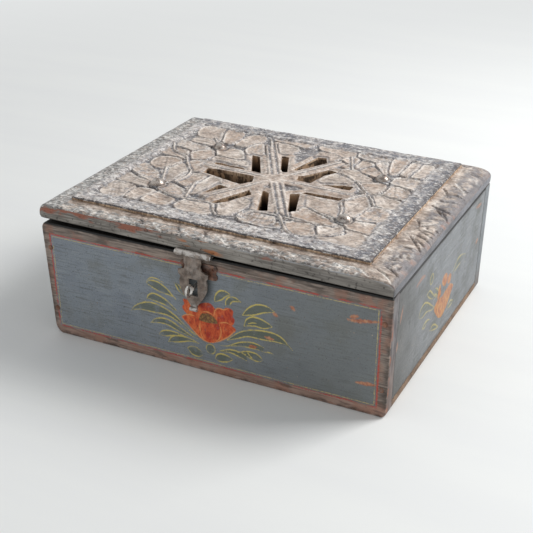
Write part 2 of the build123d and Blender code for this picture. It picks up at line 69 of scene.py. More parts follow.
# How far the body's ends lean in at the table, and how round its corners are worn
LEFT_LEAN = 2.5
RIGHT_LEAN = 1.0
WEAR_BOTTOM_LEFT = 8.0
WEAR_BOTTOM_RIGHT = 4.0
WEAR_TOP_LEFT = 6.0
WEAR_TOP_RIGHT = 1.5
# The lid board's thickness, its rise at the left end, and how its edges are worn
LID_BOARD = 13.0
LID_RISE = 3.0
LID_TILT = math.asin(LID_RISE / WIDTH)
LID_LEFT_ROUND = 6.5
LID_LEFT_UNDER = 3.0
LID_WEAR_REACH = 8.0
LID_RIGHT_FLAT = 7.5
LID_RIGHT_ROUND_WIDTH = 16.0
LID_LONG_EDGE_ROUND = 1.6
# The panel's thickness, and the borders that it leaves at the left and the right
PANEL = 3.0
BORDER_LEFT = 20.0
BORDER_RIGHT = 25.0
PANEL_LEFT = LEFT + BORDER_LEFT
PANEL_RIGHT = RIGHT - BORDER_RIGHT
PANEL_FRONT = span("carved_panel")[0][1]
PANEL_BACK = span("carved_panel")[1][1]
PANEL_SIDES = (PANEL_LEFT, PANEL_RIGHT, PANEL_FRONT, PANEL_BACK)
# The star's middle, the hasp's place across, and the radius of a nail's head
HUB_X = -2.1
HUB_Y = (FRONT + BACK) / 2 + 5.5
HASP_X = -8.2
NAIL_HEAD = 2.2


def on_lid(points):
    """The lid's pieces are drawn level, their underside at height 0, and placed with the lid's tilt."""
    points = np.asarray(points, dtype=float)
    dx = points[..., 0] - RIGHT
    z = points[..., 2]
    c = math.cos(LID_TILT)
    s = math.sin(LID_TILT)
    return np.stack([RIGHT + dx * c + z * s, points[..., 1], BODY_HEIGHT - dx * s + z * c], axis=-1)


# Plane geometry

def segment_distance(x, y, a, b):
    """Distance to a segment, and how far along it the nearest point is, from 0 to 1."""
    dx = b[0] - a[0]
    dy = b[1] - a[1]
    t = np.clip(((x - a[0]) * dx + (y - a[1]) * dy) / (dx * dx + dy * dy), 0, 1)
    return np.hypot(x - a[0] - t * dx, y - a[1] - t * dy), t


def path_distance(x, y, points, closed=False):
    """Distance to a line through the points."""
    points = list(points)
    if closed:
        points.append(points[0])
    best = np.full(x.shape, 1e9)
    for a, b in zip(points, points[1:]):
        best = np.minimum(best, segment_distance(x, y, a, b)[0])
    return best


def inside_polygon(x, y, points):
    """True where a point is inside a closed outline."""
    inside = np.zeros(x.shape, dtype=bool)
    for (ax, ay), (bx, by) in zip(points, list(points[1:]) + [points[0]]):
        crosses = (ay > y) != (by > y)
        reach = ax + (y - ay) * (bx - ax) / (by - ay if by != ay else 1e-9)
        inside ^= crosses & (x < reach)
    return inside


def polygon_distance(x, y, points):
    """Distance to a closed outline, negative inside."""
    distance = path_distance(x, y, points, closed=True)
    return np.where(inside_polygon(x, y, points), -distance, distance)


def curve_point(a, b, c, d, t):
    """A point between b and c on a smooth curve through four points."""
    return (2 * b + (c - a) * t + (2 * a - 5 * b + 4 * c - d) * t * t + (3 * b - a - 3 * c + d) * t**3) / 2


def smooth_path(points, steps=6):
    """A rounded line through the points."""
    points = [np.array(p, dtype=float) for p in points]
    ends = [2 * points[0] - points[1]] + points + [2 * points[-1] - points[-2]]
    line = []
    for i in range(len(points) - 1):
        for step in range(steps):
            line.append(tuple(curve_point(*ends[i : i + 4], step / steps)))
    line.append(tuple(points[-1]))
    return line


def rounded(outline, steps=4):
    """A closed outline drawn smoothly through its points."""
    count = len(outline)
    points = [np.array(p, dtype=float) for p in outline]
    line = []
    for i in range(count):
        near = [points[(i + k - 1) % count] for k in range(4)]
        for step in range(steps):
            line.append(tuple(curve_point(*near, step / steps)))
    return line


# The signed distance given to places that are nowhere near a form
FAR = 20.0


def far_away(x):
    """A signed distance far from every form, for each place of a grid."""
    return np.full(x.shape, FAR)


def inward(x, y, low_x, high_x, low_y, high_y):
    """Distance in from the nearest side of a rectangle, negative outside it."""
    return np.minimum(np.minimum(x - low_x, high_x - x), np.minimum(y - low_y, high_y - y))


def near_only(form, x, y, points, *values, reach=5.0):
    """A form's signed distances, worked out near its points only and large elsewhere."""
    across = [p[0] for p in points]
    up = [p[1] for p in points]
    near_across = (x > min(across) - reach) & (x < max(across) + reach)
    near = near_across & (y > min(up) - reach) & (y < max(up) + reach)
    result = far_away(x)
    if near.any():
        result[near] = form(x[near], y[near], points, *values)
    return result


def stroke_distance(x, y, points, half_width, taper=0.35):
    """Signed distance to a brush stroke that thins towards both ends."""
    line = smooth_path(points)
    best = np.full(x.shape, 1e9)
    count = len(line) - 1
    for i in range(count):
        distance, t = segment_distance(x, y, line[i], line[i + 1])
        share = (i + t) / count
        width = half_width * (taper + (1 - taper) * np.sin(np.pi * share))
        best = np.minimum(best, distance - width)
    return best


def ramp(value, low, high):
    """0 below low, 1 above high and smooth between."""
    t = np.clip((value - low) / (high - low), 0, 1)
    return t * t * (3 - 2 * t)


def lattice_noise(x, y, size, seed):
    """Smooth noise from -1 to 1 whose bumps are about the given size."""
    u = np.asarray(x, dtype=float) / size
    v = np.asarray(y, dtype=float) / size
    iu = np.floor(u).astype(int)
    iv = np.floor(v).astype(int)
    fu = u - iu
    fv = v - iv
    fu = fu * fu * (3 - 2 * fu)
    fv = fv * fv * (3 - 2 * fv)

    def corner(i, j):
        n = np.sin(i * 127.1 + j * 311.7 + seed * 74.7) * 43758.5453
        return 2 * (n - np.floor(n)) - 1

    low = corner(iu, iv) * (1 - fu) + corner(iu + 1, iv) * fu
    high = corner(iu, iv + 1) * (1 - fu) + corner(iu + 1, iv + 1) * fu
    return low * (1 - fv) + high * fv


def rough(x, y, size, seed):
    """Noise in three sizes of bump."""
    return (
        lattice_noise(x, y, size, seed)
        + 0.5 * lattice_noise(x, y, size / 2.1, seed + 1)
        + 0.25 * lattice_noise(x, y, size / 4.3, seed + 2)
    ) / 1.75


def spaced(low, high, step, edge=(0.35, 0.9, 1.7)):
    """Places from low to high, about a step apart and closer together at both ends."""
    inner_low = low + edge[-1]
    inner_high = high - edge[-1]
    count = max(2, int(round((inner_high - inner_low) / step)) + 1)
    middle = np.linspace(inner_low, inner_high, count)
    first = [low] + [low + e for e in edge[:-1]]
    last = [high - e for e in reversed(edge[:-1])] + [high]
    return np.concatenate([first, middle, last])


def round_over(distance, radius):
    """How far a surface has dropped at a distance in from a rounded edge."""
    d = np.clip(distance, 0, radius)
    return radius - np.sqrt(np.maximum(radius * radius - (radius - d) ** 2, 0))


# Meshes

# An edge that turns by more than this, in radians, is drawn sharp
SHARP_ANGLE = 0.6


def make_piece(name, points, faces, material_index, materials, values, body):
    """Makes a mesh piece that rides on a body and takes a material slot."""
    mesh = bpy.data.meshes.new(name)
    mesh.from_pydata((np.asarray(points) * MM).tolist(), [], faces)
    mesh.polygons.foreach_set("material_index", material_index)
    for key, data in values.items():
        attribute = mesh.attributes.new(key, "FLOAT", "POINT")
        attribute.data.foreach_set("value", np.asarray(data, dtype=np.float32))
    for material in materials:
        mesh.materials.append(material)
    mesh.shade_smooth()
    mesh.set_sharp_from_angle(angle=SHARP_ANGLE)
    mesh.update()
    piece = bpy.data.objects.new(name, mesh)
    bpy.context.scene.collection.objects.link(piece)
    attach(piece, body)
    return piece


def cap_triangles(flat_points, edges):
    """Triangles between closed loops of edges, with the holes left open, as indexes of the given points."""
    made = delaunay_2d_cdt([Vector(p) for p in flat_points], edges, [], 1, 1e-7)
    sources = [o[0] if o else -1 for o in made[3]]
    triangles = np.array([[sources[i] for i in face] for face in made[2]])
    middles = flat_points[triangles].mean(axis=1)
    inside = np.zeros(len(middles), dtype=bool)
    for a, b in edges:
        ax, ay = flat_points[a]
        bx, by = flat_points[b]
        if ay != by:
            crosses = (ay > middles[:, 1]) != (by > middles[:, 1])
            inside ^= crosses & (middles[:, 0] < ax + (middles[:, 1] - ay) * (bx - ax) / (by - ay))
    return [tuple(int(i) for i in triangle) for triangle in triangles[inside]]


def slab(name, face, cells, rings, flat_axes, materials, values, body):
    """A closed board: a carved face on a grid, side walls through the given rings, and a flat back.

    It takes a material for its face, one for its sides, and one for its back if that differs from the sides.
    face holds the grid's points and cells its faces as indexes. Each ring is a function that moves the points
    of the face's edges on towards the back.
    """
    points = face.reshape(-1, 3)
    used = np.unique(np.concatenate([np.array(c) for c in cells]))
    new_index = np.full(len(points), -1)
    new_index[used] = np.arange(len(used))
    points = points[used]
    values = {key: np.asarray(data).reshape(-1)[used] for key, data in values.items()}
    faces = [tuple(int(i) for i in new_index[list(c)]) for c in cells]
    directed = [(c[i], c[(i + 1) % len(c)]) for c in faces for i in range(len(c))]
    pairs = np.array(directed)
    total = len(points)
    key = pairs[:, 0] * total + pairs[:, 1]
    reverse = pairs[:, 1] * total + pairs[:, 0]
    border = pairs[~np.isin(key, reverse)]
    ring = np.unique(border)
    where = {int(v): i for i, v in enumerate(ring)}
    source = points[ring]
    all_points = [points]
    sides = []
    previous = {int(v): int(v) for v in ring}
    for number, move in enumerate(rings):
        moved = move(source)
        base = total + number * len(ring)
        for a, b in border:
            a = int(a)
            b = int(b)
            sides.append((previous[b], previous[a], base + where[a], base + where[b]))
        previous = {v: base + where[v] for v in previous}
        all_points.append(moved)
    last = all_points[-1]
    loops = [(where[int(a)], where[int(b)]) for a, b in border]
    cap = cap_triangles(last[:, flat_axes], loops)
    first = set((c[i], c[(i + 1) % 3]) for c in cap for i in range(3))
    if loops[0] in first:
        cap = [tuple(reversed(c)) for c in cap]
    base = total + (len(rings) - 1) * len(ring)
    cap = [tuple(base + i for i in c) for c in cap]
    index = [0] * len(faces) + [1] * len(sides) + [len(materials) - 1] * len(cap)
    for name_of, data in values.items():
        values[name_of] = np.concatenate([data] + [data[ring]] * len(rings))
    levels = [np.zeros(total)] + [np.full(len(ring), (i + 1) / len(rings)) for i in range(len(rings))]
    values["sunk"] = np.concatenate(levels)
    return make_piece(
        name, np.concatenate(all_points), faces + sides + cap, index, materials, values, body
    )


def flat_back(axis, place):
    """A ring for a slab that lies flat at one place along an axis."""
    def move(points):
        moved = points.copy()
        moved[:, axis] = place
        return moved
    return move


def grid_cells(rows, columns):
    """Every cell of a grid, as four indexes each, anticlockwise when columns run right and rows up."""
    index = np.arange(rows * columns).reshape(rows, columns)
    quads = np.stack([index[:-1, :-1], index[:-1, 1:], index[1:, 1:], index[1:, :-1]], axis=-1)
    return quads.reshape(-1, 4)


def pierce(x, y, outlines, reach):
    """Moves grid points near the outlines onto them, and returns the cells left outside them."""
    on = np.zeros(x.shape, dtype=bool)
    inside = np.zeros(x.shape, dtype=bool)
    for outline in outlines:
        distance = polygon_distance(x, y, outline)
        near = np.abs(distance) < reach
        px = x[near]
        py = y[near]
        best = np.full(px.shape, 1e9)
        to_x = px.copy()
        to_y = py.copy()
        for a, b in zip(outline, list(outline[1:]) + [outline[0]]):
            away, t = segment_distance(px, py, a, b)
            closer = away < best
            best = np.where(closer, away, best)
            to_x = np.where(closer, a[0] + t * (b[0] - a[0]), to_x)
            to_y = np.where(closer, a[1] + t * (b[1] - a[1]), to_y)
        x[near] = to_x
        y[near] = to_y
        for corner in outline:
            nearest = np.unravel_index(np.argmin(np.hypot(x - corner[0], y - corner[1])), x.shape)
            x[nearest] = corner[0]
            y[nearest] = corner[1]
            near[nearest] = True
        on |= near
        inside |= (distance < 0) & ~near
    on = on.reshape(-1)
    inside = inside.reshape(-1)
    every = grid_cells(*x.shape)
    touched = (on | inside)[every].any(axis=1)
    cells = [tuple(cell) for cell in every[~touched]]
    for cell in every[touched]:
        corners_in = inside[cell]
        if not corners_in.any():
            middle_x = x.reshape(-1)[cell].mean()
            middle_y = y.reshape(-1)[cell].mean()
            middle = np.array([middle_x]), np.array([middle_y])
            if on[cell].all() and any(inside_polygon(*middle, outline)[0] for outline in outlines):
                continue
            cells.append(tuple(cell))
            continue
        for a, b in ((0, 2), (1, 3)):
            if not (on[cell[a]] and on[cell[b]]):
                continue
            for start, third, end in ((a, a + 1, b), (b, (b + 1) % 4, a)):
                if not inside[cell[third]]:
                    cells.append((cell[start], cell[third], cell[end]))
    return cells


# Materials

def srgb(red, green, blue):
    """A colour given as it looks on a screen, from 0 to 255."""
    linear = []
    for value in (red, green, blue):
        c = value / 255
        linear.append(c / 12.92 if c <= 0.04045 else ((c + 0.055) / 1.055) ** 2.4)
    return (*linear, 1.0)


class Shader:
    """One material under construction. Its methods return sockets or take them."""

    def __init__(self, name, roughness=0.6, metallic=0.0, specular=0.4):
        self.material = bpy.data.materials.new(name)
        self.material.use_nodes = True
        self.tree = self.material.node_tree
        self.nodes = self.tree.nodes
        self.surface = self.nodes["Principled BSDF"]
        self.surface.inputs["Roughness"].default_value = roughness
        self.surface.inputs["Metallic"].default_value = metallic
        self.surface.inputs["Specular IOR Level"].default_value = specular
        self.place = self.nodes.new("ShaderNodeTexCoord").outputs["Object"]

    def connect(self, value, socket):
        """Links a socket to another, or sets it to a plain value."""
        if hasattr(value, "is_output"):
            self.tree.links.new(value, socket)
        else:
            socket.default_value = value

    def combine(self, operation, a, b=0.0, clamp=False):
        """One step of arithmetic."""
        node = self.nodes.new("ShaderNodeMath")
        node.operation = operation
        node.use_clamp = clamp
        self.connect(a, node.inputs[0])
        self.connect(b, node.inputs[1])
        return node.outputs[0]

    def times(self, a, b, clamp=False):
        return self.combine("MULTIPLY", a, b, clamp)

    def plus(self, a, b, clamp=False):
        return self.combine("ADD", a, b, clamp)

    def mix(self, share, a, b):
        """The first colour where the share is 0, the second where it is 1."""
        node = self.nodes.new("ShaderNodeMix")
        node.data_type = "RGBA"
        self.connect(share, node.inputs["Factor"])
        self.connect(a, node.inputs["A"])
        self.connect(b, node.inputs["B"])
        return node.outputs["Result"]

    def tones(self, value, *stops):
        """A run of colours, each given with its place from 0 to 1."""
        node = self.nodes.new("ShaderNodeValToRGB")
        self.connect(value, node.inputs[0])
        elements = node.color_ramp.elements
        for element, (place, colour) in zip(list(elements), (stops[0], stops[-1])):
            element.position = place
            element.color = colour
        for place, colour in stops[1:-1]:
            elements.new(place).color = colour
        return node.outputs["Color"]

    def between(self, value, low, high, to_low=0.0, to_high=1.0):
        """A smooth step from to_low to to_high as the value goes from low to high."""
        node = self.nodes.new("ShaderNodeMapRange")
        node.interpolation_type = "SMOOTHSTEP"
        self.connect(value, node.inputs["Value"])
        node.inputs["From Min"].default_value = low
        node.inputs["From Max"].default_value = high
        node.inputs["To Min"].default_value = to_low
        node.inputs["To Max"].default_value = to_high
        return node.outputs["Result"]

    def over(self, base, colour, value, low, high, most=1.0):
        """A colour laid over another where a value goes from low to high, by the given share at most."""
        return self.mix(self.between(value, low, high, 0.0, most), base, colour)

    def value(self, name):
        """A value that the mesh gives at each point."""
        node = self.nodes.new("ShaderNodeAttribute")
        node.attribute_name = name
        return node.outputs["Fac"]

    def axis(self, letter):
        """A place along one axis of the frame, in millimetres."""
        node = self.nodes.new("ShaderNodeSeparateXYZ")
        self.connect(self.place, node.inputs[0])
        return self.times(node.outputs[letter], 1 / MM)

    def noise(self, size, detail=4.0, stretch=(1, 1, 1), seed=0.0, roughness=0.55):
        """Noise from about 0 to 1 in patches of about size millimetres, longer along an axis by stretch."""
        mapping = self.nodes.new("ShaderNodeMapping")
        mapping.inputs["Scale"].default_value = [1 / (MM * size * s) for s in stretch]
        mapping.inputs["Location"].default_value = (seed, seed * 1.7, seed * 0.6)
        self.connect(self.place, mapping.inputs["Vector"])
        node = self.nodes.new("ShaderNodeTexNoise")
        node.inputs["Scale"].default_value = 1.0
        node.inputs["Detail"].default_value = detail
        node.inputs["Roughness"].default_value = roughness
        self.connect(mapping.outputs[0], node.inputs["Vector"])
        return node.outputs["Fac"]

    def painted(self, name, wear, ragged=0.5, soft=0.18):
        """How much of a painted shape shows: its signed distance with a ragged, worn edge."""
        edge = self.times(self.combine("SUBTRACT", self.noise(1.4, 3.0, seed=3.0), 0.5), ragged * 2)
        distance = self.plus(self.value(name), edge)
        return self.times(self.between(distance, soft, -soft), wear, clamp=True)

    def lay(self, base, name, wear, colour, ragged=0.5, soft=0.18):
        """A painted shape laid over a colour."""
        return self.mix(self.painted(name, wear, ragged, soft), base, colour)

    def marked(self, name, share):
        """A mark that the mesh gives, broken up by a share."""
        return self.times(self.value(name), share, clamp=True)

    def bump(self, height, millimetres):
        """Makes the surface look uneven, as deep as the millimetres given."""
        node = self.nodes.new("ShaderNodeBump")
        node.inputs["Strength"].default_value = 1.0
        node.inputs["Distance"].default_value = millimetres * MM
        self.connect(height, node.inputs["Height"])
        self.connect(node.outputs[0], self.surface.inputs["Normal"])

    def finish(self, colour, roughness=None):
        """Sets the colour, and the roughness if one is given, and returns the material."""
        self.connect(colour, self.surface.inputs["Base Color"])
        if roughness is not None:
            self.connect(roughness, self.surface.inputs["Roughness"])
        return self.material


def grained(shader, along, light, dark, seed=0.0):
    """Wood colour with streaks along one axis, X, Y or Z."""
    stretch = [1.0, 1.0, 1.0]
    stretch["XYZ".index(along)] = 16.0
    streaks = shader.noise(1.3, 5.0, stretch, seed)
    broad = shader.noise(14.0, 3.0, [1 + (s - 1) / 4 for s in stretch], seed + 5)
    share = shader.plus(shader.times(streaks, 0.65), shader.times(broad, 0.35))
    return shader.mix(shader.between(share, 0.36, 0.64), dark, light), streaks


STRIPE_RED = srgb(188, 66, 50)
STRIPE_YELLOW = srgb(206, 184, 118)
LEAF_OLIVE = srgb(86, 94, 68)
LEAF_YELLOW = srgb(212, 192, 104)
GRIME = srgb(44, 38, 34)
BLACK = srgb(16, 14, 13)


def wall_wood(s, along, edge_wood, rust_left):
    """The bare wood where a wall's paint is gone, with rust stains and dark patches, and its streaks."""
    wood, streaks = grained(s, along, *edge_wood)
    wood = s.over(wood, srgb(152, 112, 94), s.noise(16.0, 5.0, seed=52.0), 0.5, 0.64, rust_left)
    wood = s.over(wood, srgb(178, 132, 114), s.axis("Z"), 14, 4, 0.4)
    wood = s.over(wood, srgb(66, 56, 50), s.noise(5.0, 5.0, (4, 1, 1), seed=55.0), 0.5, 0.66, 0.6)
    return wood, streaks


def wall_paint(s, fields, blotches, fine, streaks, shade_gradient):
    """A wall's old paint: blotched, streaked, gritty, painted shade along one axis, darker low down."""
    paint = s.tones(blotches, *zip((0.3, 0.5, 0.7), fields))
    paint = s.over(paint, srgb(96, 98, 96), streaks, 0.53, 0.66, 0.5)
    paint = s.over(paint, srgb(158, 162, 164), streaks, 0.46, 0.34, 0.4)
    paint = s.over(paint, srgb(158, 160, 158), fine, 0.6, 0.72, 0.3)
    paint = s.over(paint, srgb(74, 78, 82), fine, 0.4, 0.32, 0.4)
    grit = s.noise(1.1, 4.0, seed=57.0)
    paint = s.over(paint, srgb(172, 170, 162), grit, 0.56, 0.7, 0.35)
    paint = s.over(paint, srgb(58, 62, 64), grit, 0.44, 0.32, 0.45)
    # Painted shade along one axis, and the same tone a little towards the bottom
    axis, lit_end, shaded_end, most, shade_tone = shade_gradient
    paint = s.over(paint, shade_tone, s.axis(axis), lit_end, shaded_end, most)
    return s.over(paint, shade_tone, s.axis("Z"), 60, 5, 0.15)


def painted_forms(s, colour, flower, strengths):
    """Pinstripes, leaves and flower laid over a wall's colour."""
    red_left, yellow_left, leaf_left, flower_left, _ = strengths
    worn = s.between(s.noise(7.0, 5.0, seed=12.0), 0.34, 0.5, 0.35, 1.0)
    whole = s.between(s.noise(5.0, 5.0, seed=22.0), 0.3, 0.42, 0.75, 1.0)
    red = s.between(s.noise(16.0, 6.0, seed=17.0), 0.36, 0.54, 0.05, 1.0)
    low_right = s.times(s.between(s.axis("X"), 134, 138), s.between(s.axis("Z"), 70, 58))
    red = s.combine("MAXIMUM", red, low_right)
    petal = s.tones(s.noise(3.4, 6.0, (1, 1, 2), seed=21.0), *zip((0.36, 0.5, 0.64), flower))
    petal = s.over(petal, srgb(112, 56, 36), s.noise(1.6, 3.0, (1, 1, 2), seed=24.0), 0.56, 0.68, 0.6)
    speckle = s.tones(s.noise(1.8, 2.0, seed=30.0), (0.45, srgb(84, 76, 50)), (0.62, srgb(142, 122, 70)))
    colour = s.lay(colour, "red_stripe", s.times(red, red_left), STRIPE_RED, 1.1, 0.5)
    colour = s.lay(colour, "yellow_stripe", s.times(worn, yellow_left), STRIPE_YELLOW, 0.6)
    colour = s.lay(colour, "leaf", s.times(worn, leaf_left * 0.62), LEAF_OLIVE, 0.5, 0.5)
    colour = s.lay(colour, "leaf_line", s.times(worn, leaf_left), LEAF_YELLOW, 0.5, 0.3)
    colour = s.lay(colour, "petal", s.times(whole, flower_left), petal, 0.5, 0.3)
    colour = s.lay(colour, "petal_line", s.times(worn, flower_left * 0.8), srgb(232, 158, 92), 0.4)
    return s.lay(colour, "centre", s.times(worn, 0.85), speckle, 0.6)


def wall_dirt(s, colour, rust_left):
    """Scrapes, painted shadows beside the hasp and along the top, grime at the edges, pits and specks."""
    scrape = s.tones(s.noise(3.0, 3.0, seed=33.0), (0.35, srgb(168, 92, 62)), (0.65, srgb(212, 152, 112)))
    colour = s.lay(colour, "scrape", rust_left * 1.3, scrape, 1.6, 0.6)
    # Painted shadow on the wall beside the hasp's right edge
    colour = s.lay(colour, "hasp_shadow", 0.5, srgb(56, 58, 50), 2.5, 4.0)
    grime = s.between(s.value("edge"), 0.0, 5.0, 0.75, 0.0)
    colour = s.mix(s.times(grime, s.between(s.noise(7.0, 4.0, seed=40.0), 0.35, 0.65)), colour, GRIME)
    colour = s.over(colour, GRIME, s.noise(1.2, 3.0, seed=44.0), 0.68, 0.72, 0.7)
    colour = s.over(colour, srgb(206, 190, 160), s.noise(2.1, 2.0, seed=47.0), 0.735, 0.75, 0.8)
    # Painted shadow of the gap under the lid: the top 1.2 to 2 mm of the face turns black
    return s.over(colour, BLACK, s.axis("Z"), BODY_HEIGHT - 2.0, BODY_HEIGHT - 1.2)


def wall_material(name, along, fields, edge_wood, flower, strengths, shade_gradient):
    """Old paint on a wall: field, pinstripes, flower and leaves, worn through to the wood.

    strengths are how much of the red line, yellow line, leaves, flower and rusty wear shows. The last
    argument says along which axis painted shade darkens the paint, from and to which place, how much and
    to which colour.
    """
    rust_left = strengths[-1]
    s = Shader(name, roughness=0.5, specular=0.4)
    blotches = s.noise(26.0, 6.0, seed=1.0)
    fine = s.noise(2.6, 6.0, seed=8.0)
    wood, streaks = wall_wood(s, along, edge_wood, rust_left)
    paint = wall_paint(s, fields, blotches, fine, streaks, shade_gradient)
    colour = s.mix(s.painted("field", s.between(fine, 0.7, 0.66, 0.4, 1.0), 1.8, 0.9), wood, paint)
    colour = painted_forms(s, colour, flower, strengths)
    colour = wall_dirt(s, colour, rust_left)
    s.bump(s.plus(s.times(streaks, 0.5), s.times(fine, 0.9)), 0.35)
    return s.finish(colour, s.between(blotches, 0.3, 0.7, 0.38, 0.56))


def plain_wood(name, along, light, dark, seed=0.0, roughness=0.7, shade=0.0, dirt=0.6):
    """Bare old wood, darkened further down inside a cut by painted shade, as much as shade gives."""
    s = Shader(name, roughness=roughness, specular=0.3)
    colour, streaks = grained(s, along, light, dark, seed)
    colour = s.over(colour, GRIME, s.noise(11.0, 4.0, seed=seed + 9), 0.5, 0.75, dirt)
    if shade:
        colour = s.over(colour, BLACK, s.value("sunk"), 0.0, shade)
    s.bump(streaks, 0.3)
    return s.finish(colour)


def back_material():
    """The back board: grey paint outside, bare wood inside, its top darkened by grime and painted shade."""
    s = Shader("back_paint", roughness=0.6, specular=0.35)
    wood, streaks = grained(s, "X", srgb(146, 120, 98), srgb(96, 78, 64), 7.0)
    paint = s.over(srgb(112, 116, 118), srgb(128, 132, 136), s.noise(26.0, 6.0, seed=4.0), 0.35, 0.65)
    fine = s.noise(2.6, 6.0, seed=15.0)
    paint = s.over(paint, srgb(152, 152, 148), fine, 0.58, 0.72, 0.35)
    paint = s.over(paint, srgb(78, 80, 82), fine, 0.42, 0.32, 0.4)
    paint = s.over(paint, srgb(104, 88, 78), s.axis("Z"), 30, 2, 0.6)
    ends = s.between(s.combine("ABSOLUTE", s.axis("X")), RIGHT - 5, RIGHT - 4)
    colour = s.mix(s.combine("MAXIMUM", ends, s.between(s.axis("Y"), BACK - 3, BACK - 1)), wood, paint)
    # Grime and painted shade under the lid darken the top
    colour = s.over(colour, srgb(62, 54, 48), s.axis("Z"), BODY_HEIGHT - 1.2, BODY_HEIGHT - 0.4, 0.85)
    s.bump(s.plus(s.times(streaks, 0.5), fine), 0.3)
    return s.finish(colour)


def top_edge_wood(name, light, dark, ends):
    """A wall's inside and top, and its ends, whose old paint is rubbed to orange-brown at the front."""
    s = Shader(name, roughness=0.7, specular=0.25)
    colour, streaks = grained(s, "Z", light, dark, 3.0)
    colour = s.over(colour, srgb(134, 112, 94), s.noise(9.0, 5.0, seed=6.0), 0.45, 0.6, 0.4)
    paint = s.mix(s.between(s.noise(5.0, 6.0, (1, 1, 3), seed=9.0), 0.35, 0.65), *ends)
    paint = s.over(paint, srgb(134, 112, 100), s.axis("Z"), 70, 20, 0.45)
    rubbed = s.times(s.between(s.axis("Y"), FRONT + 6, FRONT + 1), s.between(s.axis("Z"), 86, 70))
    rubbed = s.times(rubbed, s.between(s.noise(6.0, 6.0, (1, 1, 2), seed=11.0), 0.46, 0.56))
    paint = s.mix(s.times(rubbed, 0.85), paint, srgb(166, 106, 78))
    colour = s.over(colour, paint, s.combine("ABSOLUTE", s.axis("X")), RIGHT - 5, RIGHT - 4)
    # Top darkened by grime and painted shade under the lid; black near the front as painted shadow of its gap
    on_top = s.between(s.axis("Z"), BODY_HEIGHT - 1.2, BODY_HEIGHT - 0.4)
    colour = s.mix(s.times(on_top, 0.85), colour, srgb(62, 54, 48))
    colour = s.mix(s.times(on_top, s.between(s.axis("Y"), FRONT + 8, FRONT + 4)), colour, BLACK)
    s.bump(streaks, 0.3)
    return s.finish(colour)


def carved_material(name, bare, painted):
    """Carved wood on the lid.

    bare gives the bare wood's tones and painted those of the old paint, from dark to light. The mesh says
    where the wood is painted, darkened by cuts and painted shade, paled by rubbing and painted highlights,
    browned, slate grey, or part of the lid's right end.
    """
    s = Shader(name, roughness=0.5, specular=0.5)
    streaks = s.noise(1.6, 6.0, (7, 1, 1), 2.0)
    patches = s.noise(13.0, 6.0, seed=3.0)
    fine = s.noise(4.6, 7.0, (1.3, 1, 1), seed=6.0, roughness=0.62)
    share = s.plus(s.times(streaks, 0.4), s.times(patches, 0.6))
    wood = s.tones(share, *zip((0.36, 0.46, 0.54, 0.64), bare))
    brown = s.marked("brown", s.between(s.noise(6.0, 4.0, seed=7.0), 0.35, 0.6))
    wood = s.mix(s.times(brown, 0.8), wood, srgb(168, 132, 104))
    old = s.tones(fine, *zip((0.34, 0.45, 0.55, 0.67), painted))
    tint = s.plus(s.value("paint"), s.between(s.noise(4.5, 6.0, seed=9.0), 0.3, 0.7, -0.4, 0.4), clamp=True)
    colour = s.mix(s.between(tint, 0.25, 0.75), wood, old)
    slate = s.marked("slate", s.between(s.noise(6.0, 6.0, seed=10.0), 0.36, 0.56, 0.1, 0.95))
    colour = s.mix(slate, colour, srgb(104, 105, 113))
    # Pale where the wood is rubbed, and painted highlights on rims, ridges and arrises
    pale = s.marked("pale", s.between(s.noise(3.2, 4.0, seed=11.0), 0.32, 0.5))
    colour = s.mix(s.times(pale, 0.85), colour, srgb(240, 234, 226))
    # Dark in cuts, cracks and pits, and painted shade in grooves, outlines and recesses
    dark = s.marked("cut", s.between(s.noise(3.6, 4.0, seed=13.0), 0.25, 0.5, 0.45, 1.0))
    colour = s.mix(dark, colour, srgb(56, 52, 54))
    rough_share = s.between(s.value("paint"), 0.2, 0.65, 0.3, 1.0)
    pits = s.between(s.noise(1.25, 3.0, (1.7, 1, 1), seed=14.0), 0.555, 0.625)
    colour = s.mix(s.times(s.times(pits, rough_share), 0.85), colour, srgb(62, 55, 52))
    worn = s.between(s.noise(1.9, 4.0, (2.0, 1, 1), seed=19.0), 0.56, 0.63)
    colour = s.mix(s.times(s.times(worn, rough_share), 0.7), colour, srgb(244, 240, 234))
    colour = s.over(colour, srgb(112, 98, 92), s.noise(3.4, 5.0, seed=20.0), 0.5, 0.62, 0.5)
    end_tones = (srgb(84, 82, 86), srgb(118, 110, 110), srgb(146, 108, 92))
    end = s.tones(s.noise(9.0, 5.0, seed=23.0), *zip((0.35, 0.55, 0.7), end_tones))
    colour = s.mix(s.times(s.value("end"), 0.85), colour, end)
    s.bump(s.plus(s.times(streaks, 0.7), s.times(s.noise(1.25, 4.0, (1.7, 1, 1), 14.0), -0.9)), 0.6)
    return s.finish(colour, s.between(patches, 0.3, 0.7, 0.34, 0.55))


